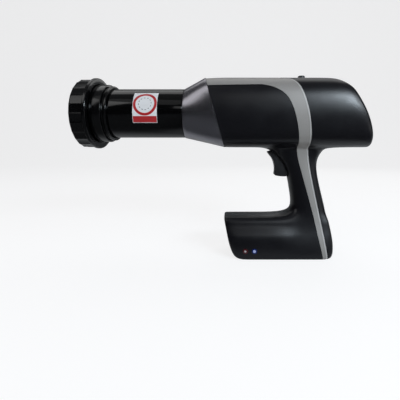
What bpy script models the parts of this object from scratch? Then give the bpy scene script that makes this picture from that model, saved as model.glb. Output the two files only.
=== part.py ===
"""Handheld dental x-ray unit: a gun-shaped generator with a beam tube, a grip and a battery foot.

Metres, +Z up. The beam axis runs along X, the muzzle towards -X, the operator at +X.
The origin is the centre of the flat underside of the foot.
"""

import math

import bmesh
import bpy

MM = 0.001

# Clearances and walls shared by every piece
GAP = 0.3 * MM
HALF_GAP = GAP / 2
WALL = 3.0 * MM
OVERRUN = 30.0 * MM
FLAT_ANGLE = math.radians(1.2)

# Beam axis and the barrel-shaped body, measured from the axis
AXIS_HEIGHT = 190.0 * MM
BODY_HALF_WIDTH = 44.0 * MM
BODY_TOP = 45.8 * MM
BODY_CROWN = 1.4 * MM
SIDE_BOW = 1.8 * MM
BODY_BOTTOM = 46.0 * MM
TOP_CORNER_R = 25.0 * MM
BOTTOM_CORNER_R = 22.5 * MM
BODY_REAR_X = 114.3 * MM
REAR_SWEEP = 58.5 * MM
REAR_SWEEP_POWER = 1.8
REAR_BELLY_DROP = 40.0 * MM
REAR_LOWER_R = 0.4 * MM
REAR_TOP_DROP = 5.7 * MM
REAR_TOP_PUSH = 8.5 * MM
REAR_BACK_PUSH = 2.6 * MM
REAR_EDGE_LENGTH = 7.5 * MM
REAR_LOWER_EDGE = 5.0 * MM
REAR_EDGE_INSET = 5.0 * MM
REAR_BULGE = 1.5 * MM

# Shares across the crown and the belly, and the turns of the rounded corners
CROWN_SHARES = ((0.0, 1.0), (0.5, 0.8), (1.0, 0.25))
BELLY_SHARES = (1.0, 0.78, 0.54, 0.27, 0.0)
CORNER_TURNS = (math.radians(30), math.radians(60))

# Counts of the body's and the foot's lattice points, and the stations that the grip joins
ACROSS_COUNT = 4
BODY_HIGH_COUNT = 6
FOOT_HIGH_COUNT = 8
BODY_ROOT_STATIONS = (2, 6)
FOOT_ROOT_STATIONS = (3, 7)

# Nose cone, from the round tube to the raked front of the body
NOSE_FRONT_X = -128.7 * MM
NOSE_FRONT_R = 33.6 * MM
NOSE_SEAT_DEPTH = 12.0 * MM
NOSE_RAKE_X = -87.4 * MM
NOSE_RAKE = math.tan(math.radians(15.2))
RAKE_LAP = 18.0 * MM

# Stations of the body behind the rake: place on the belly line, and how far each leans with the rear
BODY_MID_X = -52.0 * MM
ROOT_FRONT_X = -24.0 * MM
ROOT_REAR_X = 63.0 * MM
ROOT_STATION_SHARES = (0.0, 0.24, 0.5, 0.76, 1.0)
ROOT_LEAN_SHARES = (0.0, 0.06, 0.16, 0.28, 0.43)

# Grip, as heights of its front, side and back, with its front, back and half width
GRIP_HALF_WIDTH = 19.0 * MM
GRIP_DEPTH = 40.0 * MM
GRIP_POWER = 2.5
GRIP_ANGLES = (0, 12, 25, 38, 53, 71, 90, 109, 127, 142, 155, 168, 180)
GRIP_TOP_Z = AXIS_HEIGHT - BODY_BOTTOM
FOOT_TOP_Z = 52.9 * MM
GRIP_BACK_X = 48.0 * MM
GRIP_LEVEL_SHARES = (
    # front height, side height, back height, front place, back place, half width
    (0.960, 0.960, 0.955, -1.520, 0.260, 1.06),
    (0.855, 0.855, 0.855, -1.290, 0.090, 1.02),
    (0.725, 0.725, 0.725, -1.070, 0.025, 1.00),
    (0.565, 0.565, 0.565, -0.940, 0.070, 1.00),
    (0.385, 0.385, 0.385, -0.880, 0.160, 1.00),
    (0.210, 0.180, 0.205, -0.815, 0.260, 1.02),
    (0.068, 0.030, 0.085, -0.838, 0.325, 1.06),
)

# Battery foot
FOOT_HALF_WIDTH = 30.8 * MM
FOOT_NECK_HALF_WIDTH = 21.5 * MM
FOOT_FRONT_X = -76.4 * MM
FOOT_REAR_X = 66.3 * MM
FOOT_FRONT_RAKE = 0.21
FOOT_TOE_R = 12.0 * MM
FOOT_HEEL_R = 8.0 * MM
FOOT_EDGE_LENGTH = 5.0 * MM
FOOT_EDGE_INSET = 2.6 * MM
FOOT_REAR_LEAN = 8.9 * MM
FOOT_LEAN_POWER = 1.5
FOOT_BELOW = 0.6 * MM
FOOT_MID_X = -40.0 * MM
FOOT_NECK_X = 2.0 * MM
FOOT_STATION_SHARES = (0.0, 0.30, 0.60, 0.88)
FOOT_TOP_SHARES = ((0.0, 1.0), (0.34, 1.0), (0.66, 0.995), (0.90, 0.955), (1.0, 0.875))
FOOT_SIDE_SHARES = ((0.10, 0.795), (0.30, 0.715), (0.54, 0.625), (0.77, 0.530), (0.95, 0.330), (1.0, 0.085))
FOOT_ROOT_SHARES = ((0.10, 0.795), (0.20, 0.715), (0.33, 0.625), (0.48, 0.530), (0.76, 0.330), (1.0, 0.085))
FOOT_SOLE_CORNER = 1.6 * MM
FOOT_SOLE_HALF_WIDTH = 27.0 * MM
FOOT_SOLE_SHARES = (0.0, 0.26, 0.52, 0.78, 1.0)

# Grey band that crosses the top and runs down both sides: points as shares of the rear and of the height
HOUSING_TOP = AXIS_HEIGHT + BODY_TOP
BAND_SILL_RISE = 31.9 * MM
BAND_SILL_Z = AXIS_HEIGHT + BAND_SILL_RISE
BAND_FRONT_SHARES = (
    (-0.245, 0.9460), (-0.165, 0.9385), (-0.090, 0.9255), (-0.010, 0.9020), (0.050, 0.8670),
    (0.098, 0.8150), (0.130, 0.7560), (0.153, 0.6950), (0.168, 0.6350), (0.173, 0.5900),
    (0.186, 0.5450), (0.236, 0.4550), (0.298, 0.3450), (0.360, 0.2250), (0.398, 0.1250),
    (0.432, 0.0400), (0.452, -0.0200),
)
BAND_REAR_SHARES = (
    (-0.080, 1.0350), (-0.020, 1.0020), (0.060, 0.9930), (0.125, 0.9760), (0.175, 0.9420),
    (0.220, 0.8920), (0.256, 0.8300), (0.281, 0.7650), (0.295, 0.7000), (0.301, 0.6400),
    (0.305, 0.5900), (0.318, 0.5250), (0.350, 0.4350), (0.392, 0.3350), (0.430, 0.2400),
    (0.462, 0.1450), (0.492, 0.0400), (0.505, -0.0200),
)

# Beam tube, collar and lock ring, all turned about the beam axis
TURN_STEPS = 48
SMALL_STEPS = 24
PIN_STEPS = 16
TUBE_R = 33.0 * MM
TUBE_BORE_R = 30.0 * MM
TUBE_FRONT_X = -262.0 * MM
ADAPTER_WALL = 3.7 * MM
ADAPTER_LAP = 8.0 * MM
LINER_WALL = 0.7 * MM
COLLAR_WALL = 5.6 * MM
COLLAR_FRONT_X = -244.6 * MM
COLLAR_REAR_X = -230.3 * MM
GROOVE_WALL = 1.3 * MM
LIP_FRONT_X = -227.2 * MM
LIP_REAR_X = -224.2 * MM
LIP_WALL = 3.6 * MM
EDGE_BREAK = 0.8 * MM
RING_FRONT_X = -266.5 * MM
RING_WALL = 12.8 * MM
RING_FLANGE_RISE = 1.6 * MM
RING_FLANGE_X = -249.8 * MM
RING_CHAMFER = 1.6 * MM
RING_MOUTH_STEP = 2.7 * MM
RING_MOUTH_DEPTH = 3.5 * MM
RING_REAR_STEP = 6.7 * MM
RING_REAR_DEPTH = 1.8 * MM
FLUTE_COUNT = 24
FLUTE_R = 13.0 * MM
FLUTE_DEPTH = 0.85 * MM
FLUTE_STEPS = 32
FLUTE_TURN = math.radians(10)

# Beam stop behind the tube
COLLIMATOR_THICK = 3.0 * MM
APERTURE_R = 12.0 * MM
FILTER_R = 20.0 * MM
FILTER_THICK = 1.5 * MM

# Generator tank and what it holds
TANK_FRONT_X = -78.0 * MM
TANK_REAR_X = 8.0 * MM
TANK_HALF_HEIGHT = 29.0 * MM
TANK_CORNER = 12.0 * MM
TANK_WALL = 3.0 * MM
TANK_LID_THICK = 4.0 * MM
SNOUT_R = 20.0 * MM
SNOUT_BORE_R = 15.0 * MM
WINDOW_THICK = 3.0 * MM
FOCUS_X = -60.0 * MM
GLASS_R = 14.0 * MM
GLASS_HALF_LENGTH = 27.0 * MM
STEM_R = 7.0 * MM
TRANSFORMER_DEPTH = 34.0 * MM
TRANSFORMER_HALF_WIDTH = 24.0 * MM
TRANSFORMER_HEIGHT = 44.0 * MM

# Boards in the back of the body
BOARD_THICK = 1.6 * MM
INVERTER_X = 22.0 * MM
CONTROL_X = 52.0 * MM
BOARD_HALF_HEIGHT = 19.5 * MM

# Rear control panel, in its own tilted frame
PANEL_TILT = math.radians(29.0)
PANEL_Z = 6.0 * MM
PANEL_SINK = 3.8 * MM
PANEL_HALF_WIDTH = 28.0 * MM
PANEL_HALF_HEIGHT = 23.0 * MM
PANEL_THICK = 3.0 * MM
PANEL_CORNER = 5.0 * MM
POCKET_LEDGE = 2.5 * MM
LENS_HALF_WIDTH = 21.0 * MM
LENS_HALF_HEIGHT = 12.5 * MM
LENS_RISE = 8.0 * MM
LENS_THICK = 1.2 * MM
LENS_REST = 1.6 * MM
DISPLAY_THICK = 3.5 * MM
KEY_COUNT = 4
KEY_PITCH = 12.5 * MM
KEY_HALF_WIDTH = 4.6 * MM
KEY_HALF_HEIGHT = 3.4 * MM
KEY_DROP = 15.5 * MM
KEY_PROUD = 0.9 * MM
KEY_TRAVEL = 0.6 * MM
KEY_CORNER = 1.0 * MM

# Power button on the crown
BUTTON_X = 30.0 * MM
BUTTON_R = 4.8 * MM
BUTTON_PROUD = 4.5 * MM
BUTTON_TRAVEL = 0.8 * MM
BUTTON_FLANGE_R = 6.2 * MM
BUTTON_FLANGE_THICK = 1.4 * MM
BUTTON_EDGE = 0.7 * MM
SEAT_R = 7.6 * MM
SEAT_PROUD = 0.9 * MM
SWITCH_CUP_R = 9.0 * MM
SWITCH_CUP_FLOOR = 5.0 * MM

# Trigger in the front of the grip
TRIGGER_HALF_WIDTH = 7.4 * MM
SLOT_CLEARANCE = 0.5 * MM
PIVOT_X = 2.0 * MM
PIVOT_DROP = 8.5 * MM
PIVOT_Z = GRIP_TOP_Z - PIVOT_DROP
PIVOT_R = 1.5 * MM
PIVOT_CLEARANCE = 0.15 * MM
PIN_HALF_LENGTH = 14.0 * MM
HUB_R = 5.0 * MM
HUB_STEPS = 5
HUB_ARC = math.radians(80)
TRIGGER_REACH = 19.0 * MM
TRIGGER_DROP = 31.0 * MM
TRIGGER_SHARES = (
    (-0.990, 0.060), (-0.805, -0.095), (-0.660, -0.220), (-0.565, -0.350), (-0.510, -0.480),
    (-0.480, -0.620), (-0.480, -0.760), (-0.510, -0.880), (-0.475, -0.945), (-0.330, -0.975),
    (0.080, -1.000), (0.330, -0.985), (0.480, -0.860), (0.520, -0.550), (0.420, -0.220),
)
TRIGGER_CREST_SHARES = ((-0.300, 0.125), (-0.700, 0.130), (-0.900, 0.110))
SWITCH_HALF_WIDTH = 5.0 * MM
SWITCH_HEIGHT = 16.0 * MM
SWITCH_DEPTH = 8.0 * MM
SWITCH_DROP = 20.0 * MM
SWITCH_REACH = 13.2 * MM
BRACKET_HALF_WIDTH = 15.0 * MM
SPRING_WIRE_R = 0.6 * MM
SPRING_R = 2.9 * MM
SPRING_TURNS = 4
SPRING_PITCH = SPRING_WIRE_R * 2 + GAP
SPRING_HALF_LENGTH = SPRING_PITCH * SPRING_TURNS / 2 + SPRING_WIRE_R
SPRING_TURN_POINTS = 10
SPRING_WIRE_SIDES = 6

# Battery, its tray, the sole cover and the charging inlet
CELL_R = 9.2 * MM
CELL_LENGTH = 65.0 * MM
CELL_FRONT_X = -50.0 * MM
TRAY_WALL = 1.6 * MM
TRAY_RIM = 12.0 * MM
COVER_FRONT_X = -43.0 * MM
COVER_REAR_X = 38.0 * MM
COVER_HALF_WIDTH = 22.5 * MM
COVER_CORNER = 6.0 * MM
INLET_Z = 25.0 * MM
INLET_R = 6.0 * MM
INLET_BORE_R = 4.2 * MM
INLET_PIN_R = 1.0 * MM
INLET_DEPTH = 9.0 * MM
INLET_LENGTH = 13.0 * MM
INLET_PROUD = 1.2 * MM


def clear_scene():
    for thing in list(bpy.data.objects):
        bpy.data.objects.remove(thing, do_unlink=True)


def material(name, colour, roughness, metallic):
    """A Principled surface, made once and shared by name."""
    found = bpy.data.materials.get(name)
    if found:
        return found
    made = bpy.data.materials.new(name)
    made.use_nodes = True
    shader = made.node_tree.nodes["Principled BSDF"]
    shader.inputs["Base Color"].default_value = (*colour, 1.0)
    shader.inputs["Roughness"].default_value = roughness
    shader.inputs["Metallic"].default_value = metallic
    return made


def gloss_black():
    return material("gloss_black", (0.008, 0.008, 0.010), 0.12, 0.0)


def satin_black():
    return material("satin_black", (0.018, 0.018, 0.022), 0.38, 0.0)


def cone_grey():
    return material("cone_grey", (0.135, 0.130, 0.150), 0.36, 0.8)


def band_grey():
    return material("band_grey", (0.33, 0.32, 0.32), 0.40, 0.7)


def steel():
    return material("steel", (0.55, 0.55, 0.56), 0.28, 1.0)


def aluminium():
    return material("aluminium", (0.66, 0.67, 0.69), 0.35, 1.0)


def lead():
    return material("lead", (0.22, 0.23, 0.25), 0.55, 0.9)


def copper():
    return material("copper", (0.72, 0.38, 0.24), 0.35, 1.0)


def clear_glass():
    return material("clear_glass", (0.75, 0.80, 0.82), 0.05, 0.0)


def circuit_green():
    return material("circuit_green", (0.03, 0.16, 0.08), 0.5, 0.0)


def switch_black():
    return material("switch_black", (0.03, 0.03, 0.03), 0.5, 0.0)


def cell_blue():
    return material("cell_blue", (0.05, 0.12, 0.30), 0.35, 0.0)


def key_grey():
    return material("key_grey", (0.30, 0.31, 0.33), 0.6, 0.0)


def display_dark():
    return material("display_dark", (0.02, 0.03, 0.035), 0.15, 0.0)


def add_object(name, bm, surface, parent=None, smooth=True):
    """Store a bmesh as a named object, with smooth round faces and sharp corners."""
    bmesh.ops.recalc_face_normals(bm, faces=bm.faces[:])
    mesh = bpy.data.meshes.new(name)
    bm.to_mesh(mesh)
    bm.free()
    if smooth:
        mesh.shade_smooth()
        mesh.set_sharp_from_angle(angle=math.radians(35))
    thing = bpy.data.objects.new(name, mesh)
    if surface:
        mesh.materials.append(surface)
    thing.parent = parent
    bpy.context.scene.collection.objects.link(thing)
    return thing


def as_cutter(thing):
    thing.hide_render = True
    thing.display_type = "WIRE"
    return thing


def combine(thing, other, operation):
    """Join, cut or keep the common part with another closed shape."""
    step = thing.modifiers.new(operation.title(), "BOOLEAN")
    step.operation = operation
    step.object = as_cutter(other)
    return thing


def add_empty(name, location, rotation=(0.0, 0.0, 0.0)):
    frame = bpy.data.objects.new(name, None)
    frame.location = location
    frame.rotation_euler = rotation
    bpy.context.scene.collection.objects.link(frame)
    return frame


def turned(name, profile, surface, steps=TURN_STEPS, height=AXIS_HEIGHT, parent=None):
    """Spin a closed profile of (place along X, radius) about the beam axis."""
    bm = bmesh.new()
    points = [bm.verts.new((x, 0.0, radius)) for x, radius in profile]
    face = bm.faces.new(points)
    edges = face.edges[:]
    bmesh.ops.delete(bm, geom=[face], context="FACES_ONLY")
    bmesh.ops.spin(
        bm, geom=points + edges, cent=(0.0, 0.0, 0.0), axis=(1.0, 0.0, 0.0),
        angle=math.tau, steps=steps, use_merge=True, use_duplicate=False,
    )
    bmesh.ops.remove_doubles(bm, verts=bm.verts[:], dist=GAP / 100)
    loose = [edge for edge in bm.edges if not edge.link_faces]
    bmesh.ops.delete(bm, geom=loose, context="EDGES")
    bmesh.ops.translate(bm, vec=(0.0, 0.0, height), verts=bm.verts[:])
    return add_object(name, bm, surface, parent)


def rod(name, radius, start, end, surface, steps=TURN_STEPS, parent=None, edge=0.0):
    """A solid bar between two points, with its rims broken by an edge bevel."""
    bm = bmesh.new()
    span = [b - a for a, b in zip(start, end)]
    length = math.sqrt(sum(s * s for s in span))
    bmesh.ops.create_cone(
        bm, cap_ends=True, segments=steps, radius1=radius, radius2=radius, depth=length,
    )
    if edge:
        rims = [e for e in bm.edges if len({f.normal.z > 0.5 or f.normal.z < -0.5 for f in e.link_faces}) == 2]
        bmesh.ops.bevel(bm, geom=rims, offset=edge, segments=2, profile=0.5, affect="EDGES")
    thing = add_object(name, bm, surface, parent)
    thing.location = [(a + b) / 2 for a, b in zip(start, end)]
    if abs(span[0]) > abs(span[2]):
        thing.rotation_euler = (0.0, math.pi / 2, 0.0)
    if abs(span[1]) > max(abs(span[0]), abs(span[2])):
        thing.rotation_euler = (math.pi / 2, 0.0, 0.0)
    return thing


def block(name, low, high, surface, parent=None, corner=0.0, axis=2, steps=4):
    """A box between two corners, its four edges along one axis rounded."""
    bm = bmesh.new()
    bmesh.ops.create_cube(bm, size=1.0)
    size = [b - a for a, b in zip(low, high)]
    bmesh.ops.scale(bm, vec=size, verts=bm.verts[:])
    bmesh.ops.translate(bm, vec=[(a + b) / 2 for a, b in zip(low, high)], verts=bm.verts[:])
    if corner:
        across = [i for i in range(3) if i != axis]
        edges = [
            e for e in bm.edges
            if all(abs(e.verts[0].co[i] - e.verts[1].co[i]) < GAP / 10 for i in across)
        ]
        bmesh.ops.bevel(bm, geom=edges, offset=corner, segments=steps, profile=0.5, affect="EDGES")
    return add_object(name, bm, surface, parent)


def prism(name, outline, y_low, y_high, surface=None, parent=None, bevel=0.0):
    """Extrude an outline of (x, z) points from one side to the other."""
    bm = bmesh.new()
    near = [bm.verts.new((x, y_low, z)) for x, z in outline]
    face = bm.faces.new(near)
    grown = bmesh.ops.extrude_face_region(bm, geom=[face])
    moved = [v for v in grown["geom"] if isinstance(v, bmesh.types.BMVert)]
    bmesh.ops.translate(bm, vec=(0.0, y_high - y_low, 0.0), verts=moved)
    if bevel:
        rims = [e for e in bm.edges if abs(e.verts[0].co.y - e.verts[1].co.y) < GAP / 10]
        bmesh.ops.bevel(bm, geom=rims, offset=bevel, segments=2, profile=0.5, affect="EDGES")
    return add_object(name, bm, surface, parent)


def smooth_line(points, steps):
    """A smooth line through its points, as a Catmull-Rom curve."""
    padded = [points[0], *points, points[-1]]
    line = []
    for a, b, c, d in zip(padded, padded[1:], padded[2:], padded[3:]):
        for step in range(steps):
            t = step / steps
            line.append(tuple(
                0.5 * (2 * q + (r - p) * t + (2 * p - 5 * q + 4 * r - s) * t * t
                       + (3 * q - p - 3 * r + s) * t ** 3)
                for p, q, r, s in zip(a, b, c, d)
            ))
    line.append(tuple(points[-1]))
    return line


def shifted_line(points, distance):
    """The line moved sideways, to the left of its own direction."""
    moved = []
    for index, (x, z) in enumerate(points):
        before = points[max(index - 1, 0)]
        after = points[min(index + 1, len(points) - 1)]
        run = (after[0] - before[0], after[1] - before[1])
        length = math.hypot(*run)
        moved.append((x - run[1] / length * distance, z + run[0] / length * distance))
    return moved


def ellipse_inset(depth, reach, span, power=2.0):
    """How far a quarter of a soft oval has fallen back at a depth into its span."""
    share = min(max(depth / span, 0.0), 1.0)
    return reach * (1.0 - (1.0 - share ** power) ** (1.0 / power))


def rear_x(z):
    """The body's back outline in side view, at a height from the axis."""
    rise = BODY_TOP + BODY_CROWN + REAR_BELLY_DROP
    upper = ellipse_inset(z + REAR_BELLY_DROP, REAR_SWEEP, rise, REAR_SWEEP_POWER)
    lower = ellipse_inset(-z - REAR_BELLY_DROP, REAR_LOWER_R, BODY_BOTTOM - REAR_BELLY_DROP)
    return BODY_REAR_X - upper - lower


def rake_x(z):
    """The raked plane between the nose cone and the body."""
    return NOSE_RAKE_X - NOSE_RAKE * z


def body_section(inset, drop=0.0):
    """Half of the body's section, from the crown to the belly, as (y, z) from the axis."""
    half = BODY_HALF_WIDTH - inset
    top = BODY_TOP - inset - drop
    bottom = BODY_BOTTOM - inset
    top_r = TOP_CORNER_R - inset
    low_r = BOTTOM_CORNER_R - inset
    side = half - SIDE_BOW
    flat = side - top_r
    belly = side - low_r
    points = [(flat * y, top + BODY_CROWN * z) for y, z in CROWN_SHARES]
    for angle in CORNER_TURNS:
        points.append((flat + top_r * math.sin(angle), top - top_r + top_r * math.cos(angle)))
    points += [(side, top - top_r), (half, (top - top_r - bottom + low_r) / 2), (side, low_r - bottom)]
    for angle in CORNER_TURNS:
        points.append((belly + low_r * math.cos(angle), low_r - bottom - low_r * math.sin(angle)))
    points += [(belly * share, -bottom) for share in BELLY_SHARES]
    return points


def foot_section(inset, side_shares):
    """Half of the foot's section, from its top to its sole, as (y, z) from the floor."""
    half = FOOT_HALF_WIDTH - inset
    neck = FOOT_NECK_HALF_WIDTH - inset
    top = FOOT_TOP_Z - inset
    floor = inset - FOOT_BELOW
    points = [(neck * y, top * z) for y, z in FOOT_TOP_SHARES]
    points += [(neck + (half - neck) * y, top * z) for y, z in side_shares]
    points.append((half - FOOT_SOLE_CORNER / 2, floor + FOOT_SOLE_CORNER))
    sole = FOOT_SOLE_HALF_WIDTH - inset
    points += [(sole * share, floor) for share in reversed(FOOT_SOLE_SHARES)]
    return points


def lattice_place(section, across, high, j, k):
    """A point of the section, or inside it, for column j and row k of its lattice."""
    side = 1 if j >= 0 else -1
    column = abs(j)
    top = section[column]
    low = section[-1 - column]
    if k == high:
        y, z = top
    elif k == 0:
        y, z = low
    else:
        edge = section[across + high - k]
        share = k / high
        straight_y = low[0] + (top[0] - low[0]) * share
        corner_y = section[-1 - across][0] + (section[across][0] - section[-1 - across][0]) * share
        corner_z = section[-1 - across][1] + (section[across][1] - section[-1 - across][1]) * share
        straight_z = low[1] + (top[1] - low[1]) * share
        y = straight_y + (edge[0] - corner_y) * column / across
        z = straight_z + (edge[1] - corner_z)
    return side * y, z


class Lattice:
    """A closed tube of stations along X, as a box-like grid of columns, rows and end caps."""

    def __init__(self, bm, stations, across, high):
        self.bm = bm
        self.stations = stations
        self.across = across
        self.high = high
        self.verts = {}

    def vert(self, i, j, k):
        key = (i, j, k)
        if key not in self.verts:
            self.verts[key] = self.bm.verts.new(self.stations[i](j, k))
        return self.verts[key]

    def quad(self, *keys):
        return self.bm.faces.new([self.vert(*key) for key in keys])

    def build(self, open_row, open_from, open_to):
        """All faces, apart from those of one row between two stations."""
        last = len(self.stations) - 1
        for i in range(last):
            for j in range(-self.across, self.across):
                for k in (0, self.high):
                    if k == open_row and open_from <= i < open_to:
                        continue
                    self.quad((i, j, k), (i + 1, j, k), (i + 1, j + 1, k), (i, j + 1, k))
            for k in range(self.high):
                for j in (-self.across, self.across):
                    self.quad((i, j, k), (i + 1, j, k), (i + 1, j, k + 1), (i, j, k + 1))
        for i in (0, last):
            for j in range(-self.across, self.across):
                for k in range(self.high):
                    self.quad((i, j, k), (i, j + 1, k), (i, j + 1, k + 1), (i, j, k + 1))

    def rim(self, row, start, end):
        """The loop round the open row: front edge, far side, back edge and near side."""
        loop = [(start, j, row) for j in range(-self.across, self.across)]
        loop += [(i, self.across, row) for i in range(start, end)]
        loop += [(end, j, row) for j in range(self.across, -self.across, -1)]
        loop += [(i, -self.across, row) for i in range(end, start, -1)]
        return [self.vert(*key) for key in loop]


def full_ring(half):
    """Both sides of a half section, as one ring from the crown round the far side."""
    return half + [(-y, z) for y, z in half[-2:0:-1]]


def limit_ring(points):
    """The smooth ring that subdivision draws through a ring of cage points."""
    count = len(points)
    ring = []
    for index in range(count):
        before, here, after, beyond = (points[(index + step) % count] for step in (-1, 0, 1, 2))
        ring.append(tuple((p + 4 * q + r) / 6 for p, q, r in zip(before, here, after)))
        ring.append(tuple((p + 23 * q + 23 * r + t) / 48 for p, q, r, t in zip(before, here, after, beyond)))
    return ring


def body_stations(inset):
    """Places of the body's lattice points: raked front, grip root and swept back."""
    section = body_section(inset)
    swept = body_section(inset, REAR_TOP_DROP)
    across, high = ACROSS_COUNT, BODY_HIGH_COUNT
    root_span = ROOT_REAR_X - ROOT_FRONT_X
    lap = RAKE_LAP + inset

    def sweep(z):
        return BODY_REAR_X - rear_x(z)

    def raked(j, k):
        y, z = lattice_place(section, across, high, j, k)
        return rake_x(z) - lap, y, AXIS_HEIGHT + z

    def middle(j, k):
        y, z = lattice_place(section, across, high, j, k)
        return (BODY_MID_X + (rake_x(z) - NOSE_RAKE_X) / 2), y, AXIS_HEIGHT + z

    def root(index):
        def place(j, k):
            y, z = lattice_place(section, across, high, j, k)
            x = ROOT_FRONT_X + root_span * ROOT_STATION_SHARES[index]
            return x - sweep(z) * ROOT_LEAN_SHARES[index], y, AXIS_HEIGHT + z
        return place

    def shoulder(j, k):
        y, z = lattice_place(section, across, high, j, k)
        eased = min(z, BODY_TOP + BODY_CROWN - REAR_TOP_DROP)
        push = REAR_TOP_PUSH if k == high else 0.0
        edge = REAR_LOWER_EDGE if k == 0 else REAR_EDGE_LENGTH
        return rear_x(eased) - edge - inset + push, y, AXIS_HEIGHT + z

    def back(j, k):
        y, z = lattice_place(swept, across, high, j, k)
        rim = abs(j) == across or k in (0, high)
        narrow = (BODY_HALF_WIDTH - REAR_EDGE_INSET) / BODY_HALF_WIDTH
        bulge = 0.0 if rim else REAR_BULGE
        push = REAR_BACK_PUSH if k == high else 0.0
        return rear_x(z) - inset + bulge + push, y * narrow, AXIS_HEIGHT + z

    return [raked, middle, *[root(index) for index in range(5)], shoulder, back]


def toe_x(z):
    """The foot's front outline in side view."""
    toe = ellipse_inset(FOOT_TOE_R - z, FOOT_TOE_R, FOOT_TOE_R)
    return FOOT_FRONT_X + FOOT_FRONT_RAKE * (FOOT_TOP_Z - z) + toe


def heel_x(z):
    """The foot's back outline in side view."""
    lean = FOOT_REAR_LEAN * (max(z - FOOT_TOE_R, 0.0) / FOOT_TOP_Z) ** FOOT_LEAN_POWER
    heel = ellipse_inset(FOOT_TOE_R - z, FOOT_HEEL_R, FOOT_TOE_R)
    return FOOT_REAR_X - lean - heel


def foot_stations(inset):
    """Places of the foot's lattice points: raked toe, neck under the grip and leaning heel."""
    section = foot_section(inset, FOOT_SIDE_SHARES)
    root_section = foot_section(inset, FOOT_ROOT_SHARES)
    across, high = ACROSS_COUNT, FOOT_HIGH_COUNT
    neck_span = FOOT_REAR_X - FOOT_NECK_X

    def toe(j, k):
        y, z = lattice_place(section, across, high, j, k)
        narrow = (FOOT_HALF_WIDTH - FOOT_EDGE_INSET) / FOOT_HALF_WIDTH
        return toe_x(z) + inset, y * narrow, z

    def toe_shoulder(j, k):
        y, z = lattice_place(section, across, high, j, k)
        return toe_x(z) + FOOT_EDGE_LENGTH + inset, y, z

    def middle(j, k):
        y, z = lattice_place(section, across, high, j, k)
        return FOOT_MID_X, y, z

    def neck(index):
        def place(j, k):
            y, z = lattice_place(root_section if index else section, across, high, j, k)
            share = FOOT_STATION_SHARES[index]
            lean = (FOOT_REAR_X - heel_x(z)) * share
            return FOOT_NECK_X + neck_span * share - lean, y, z
        return place

    def heel(j, k):
        y, z = lattice_place(root_section, across, high, j, k)
        narrow = (FOOT_HALF_WIDTH - FOOT_EDGE_INSET) / FOOT_HALF_WIDTH
        return heel_x(z) - inset, y * narrow, z

    return [toe, toe_shoulder, middle, *[neck(index) for index in range(4)], heel]


def grip_loop(level, inset):
    """One ring of the grip: front half, far side, back half and near side of a soft oval."""
    front_z, side_z, back_z, front, back, width = level
    drop = GRIP_TOP_Z - FOOT_TOP_Z
    low_x = GRIP_BACK_X + front * GRIP_DEPTH + inset
    high_x = GRIP_BACK_X + back * GRIP_DEPTH - inset
    centre = (low_x + high_x) / 2
    reach = (high_x - low_x) / 2
    half = GRIP_HALF_WIDTH * width - inset
    ring = []
    corner = ACROSS_COUNT
    last = len(GRIP_ANGLES) - 1
    angles = [*GRIP_ANGLES[corner::-1], *GRIP_ANGLES[1:], *GRIP_ANGLES[last - 1:corner:-1]]
    sides = [-1] * corner + [1] * (last + 1) + [-1] * (last - corner - 1)
    for angle, side in zip(angles, sides):
        turn = math.radians(angle)
        along = math.copysign(abs(math.cos(turn)) ** (2 / GRIP_POWER), math.cos(turn))
        out = abs(math.sin(turn)) ** (2 / GRIP_POWER)
        height = front_z * max(along, 0.0) + back_z * max(-along, 0.0) + side_z * (1.0 - abs(along))
        ring.append((centre - reach * along, side * half * out, FOOT_TOP_Z + drop * height))
    return ring


def housing_cage(name, inset, level):
    """Body, grip and foot as one closed cage, smoothed by subdivision."""
    bm = bmesh.new()
    body = Lattice(bm, body_stations(inset), ACROSS_COUNT, BODY_HIGH_COUNT)
    body.build(0, *BODY_ROOT_STATIONS)
    foot = Lattice(bm, foot_stations(inset), ACROSS_COUNT, FOOT_HIGH_COUNT)
    foot.build(FOOT_HIGH_COUNT, *FOOT_ROOT_STATIONS)
    loops = [body.rim(0, *BODY_ROOT_STATIONS)]
    for shares in GRIP_LEVEL_SHARES:
        loops.append([bm.verts.new(point) for point in grip_loop(shares, inset)])
    loops.append(foot.rim(FOOT_HIGH_COUNT, *FOOT_ROOT_STATIONS))
    for upper, lower in zip(loops, loops[1:]):
        for index in range(len(upper)):
            after = (index + 1) % len(upper)
            bm.faces.new((upper[index], upper[after], lower[after], lower[index]))
    thing = add_object(name, bm, None)
    if level:
        smooth = thing.modifiers.new("Smooth", "SUBSURF")
        smooth.levels = level
        smooth.render_levels = level
        smooth.use_limit_surface = True
    thing.modifiers.new("Facets", "TRIANGULATE")
    return thing


def band_front_line():
    points = [(x * BODY_REAR_X, z * HOUSING_TOP) for x, z in BAND_FRONT_SHARES]
    lead_in = [(rake_x(BAND_SILL_Z - AXIS_HEIGHT) - OVERRUN, BAND_SILL_Z)]
    return lead_in + smooth_line(points, 3)


def band_rear_line():
    return smooth_line([(x * BODY_REAR_X, z * HOUSING_TOP) for x, z in BAND_REAR_SHARES], 3)


def rake_points(offset):
    """Top and bottom of the raked plane, moved along X."""
    top = BODY_TOP + OVERRUN
    bottom = -BODY_BOTTOM - OVERRUN
    return (rake_x(top) + offset, AXIS_HEIGHT + top), (rake_x(bottom) + offset, AXIS_HEIGHT + bottom)


def front_region():
    """Side outline of the black front: behind the rake and below the band."""
    top, bottom = rake_points(HALF_GAP)
    edge = shifted_line(band_front_line(), -HALF_GAP)
    start_x = rake_x(edge[0][1] - AXIS_HEIGHT) + HALF_GAP
    outline = [(start_x, edge[0][1]), *edge[1:]]
    far = FOOT_FRONT_X - OVERRUN
    outline += [(edge[-1][0], -OVERRUN), (far, -OVERRUN), (far, bottom[1]), bottom]
    return outline


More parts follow.
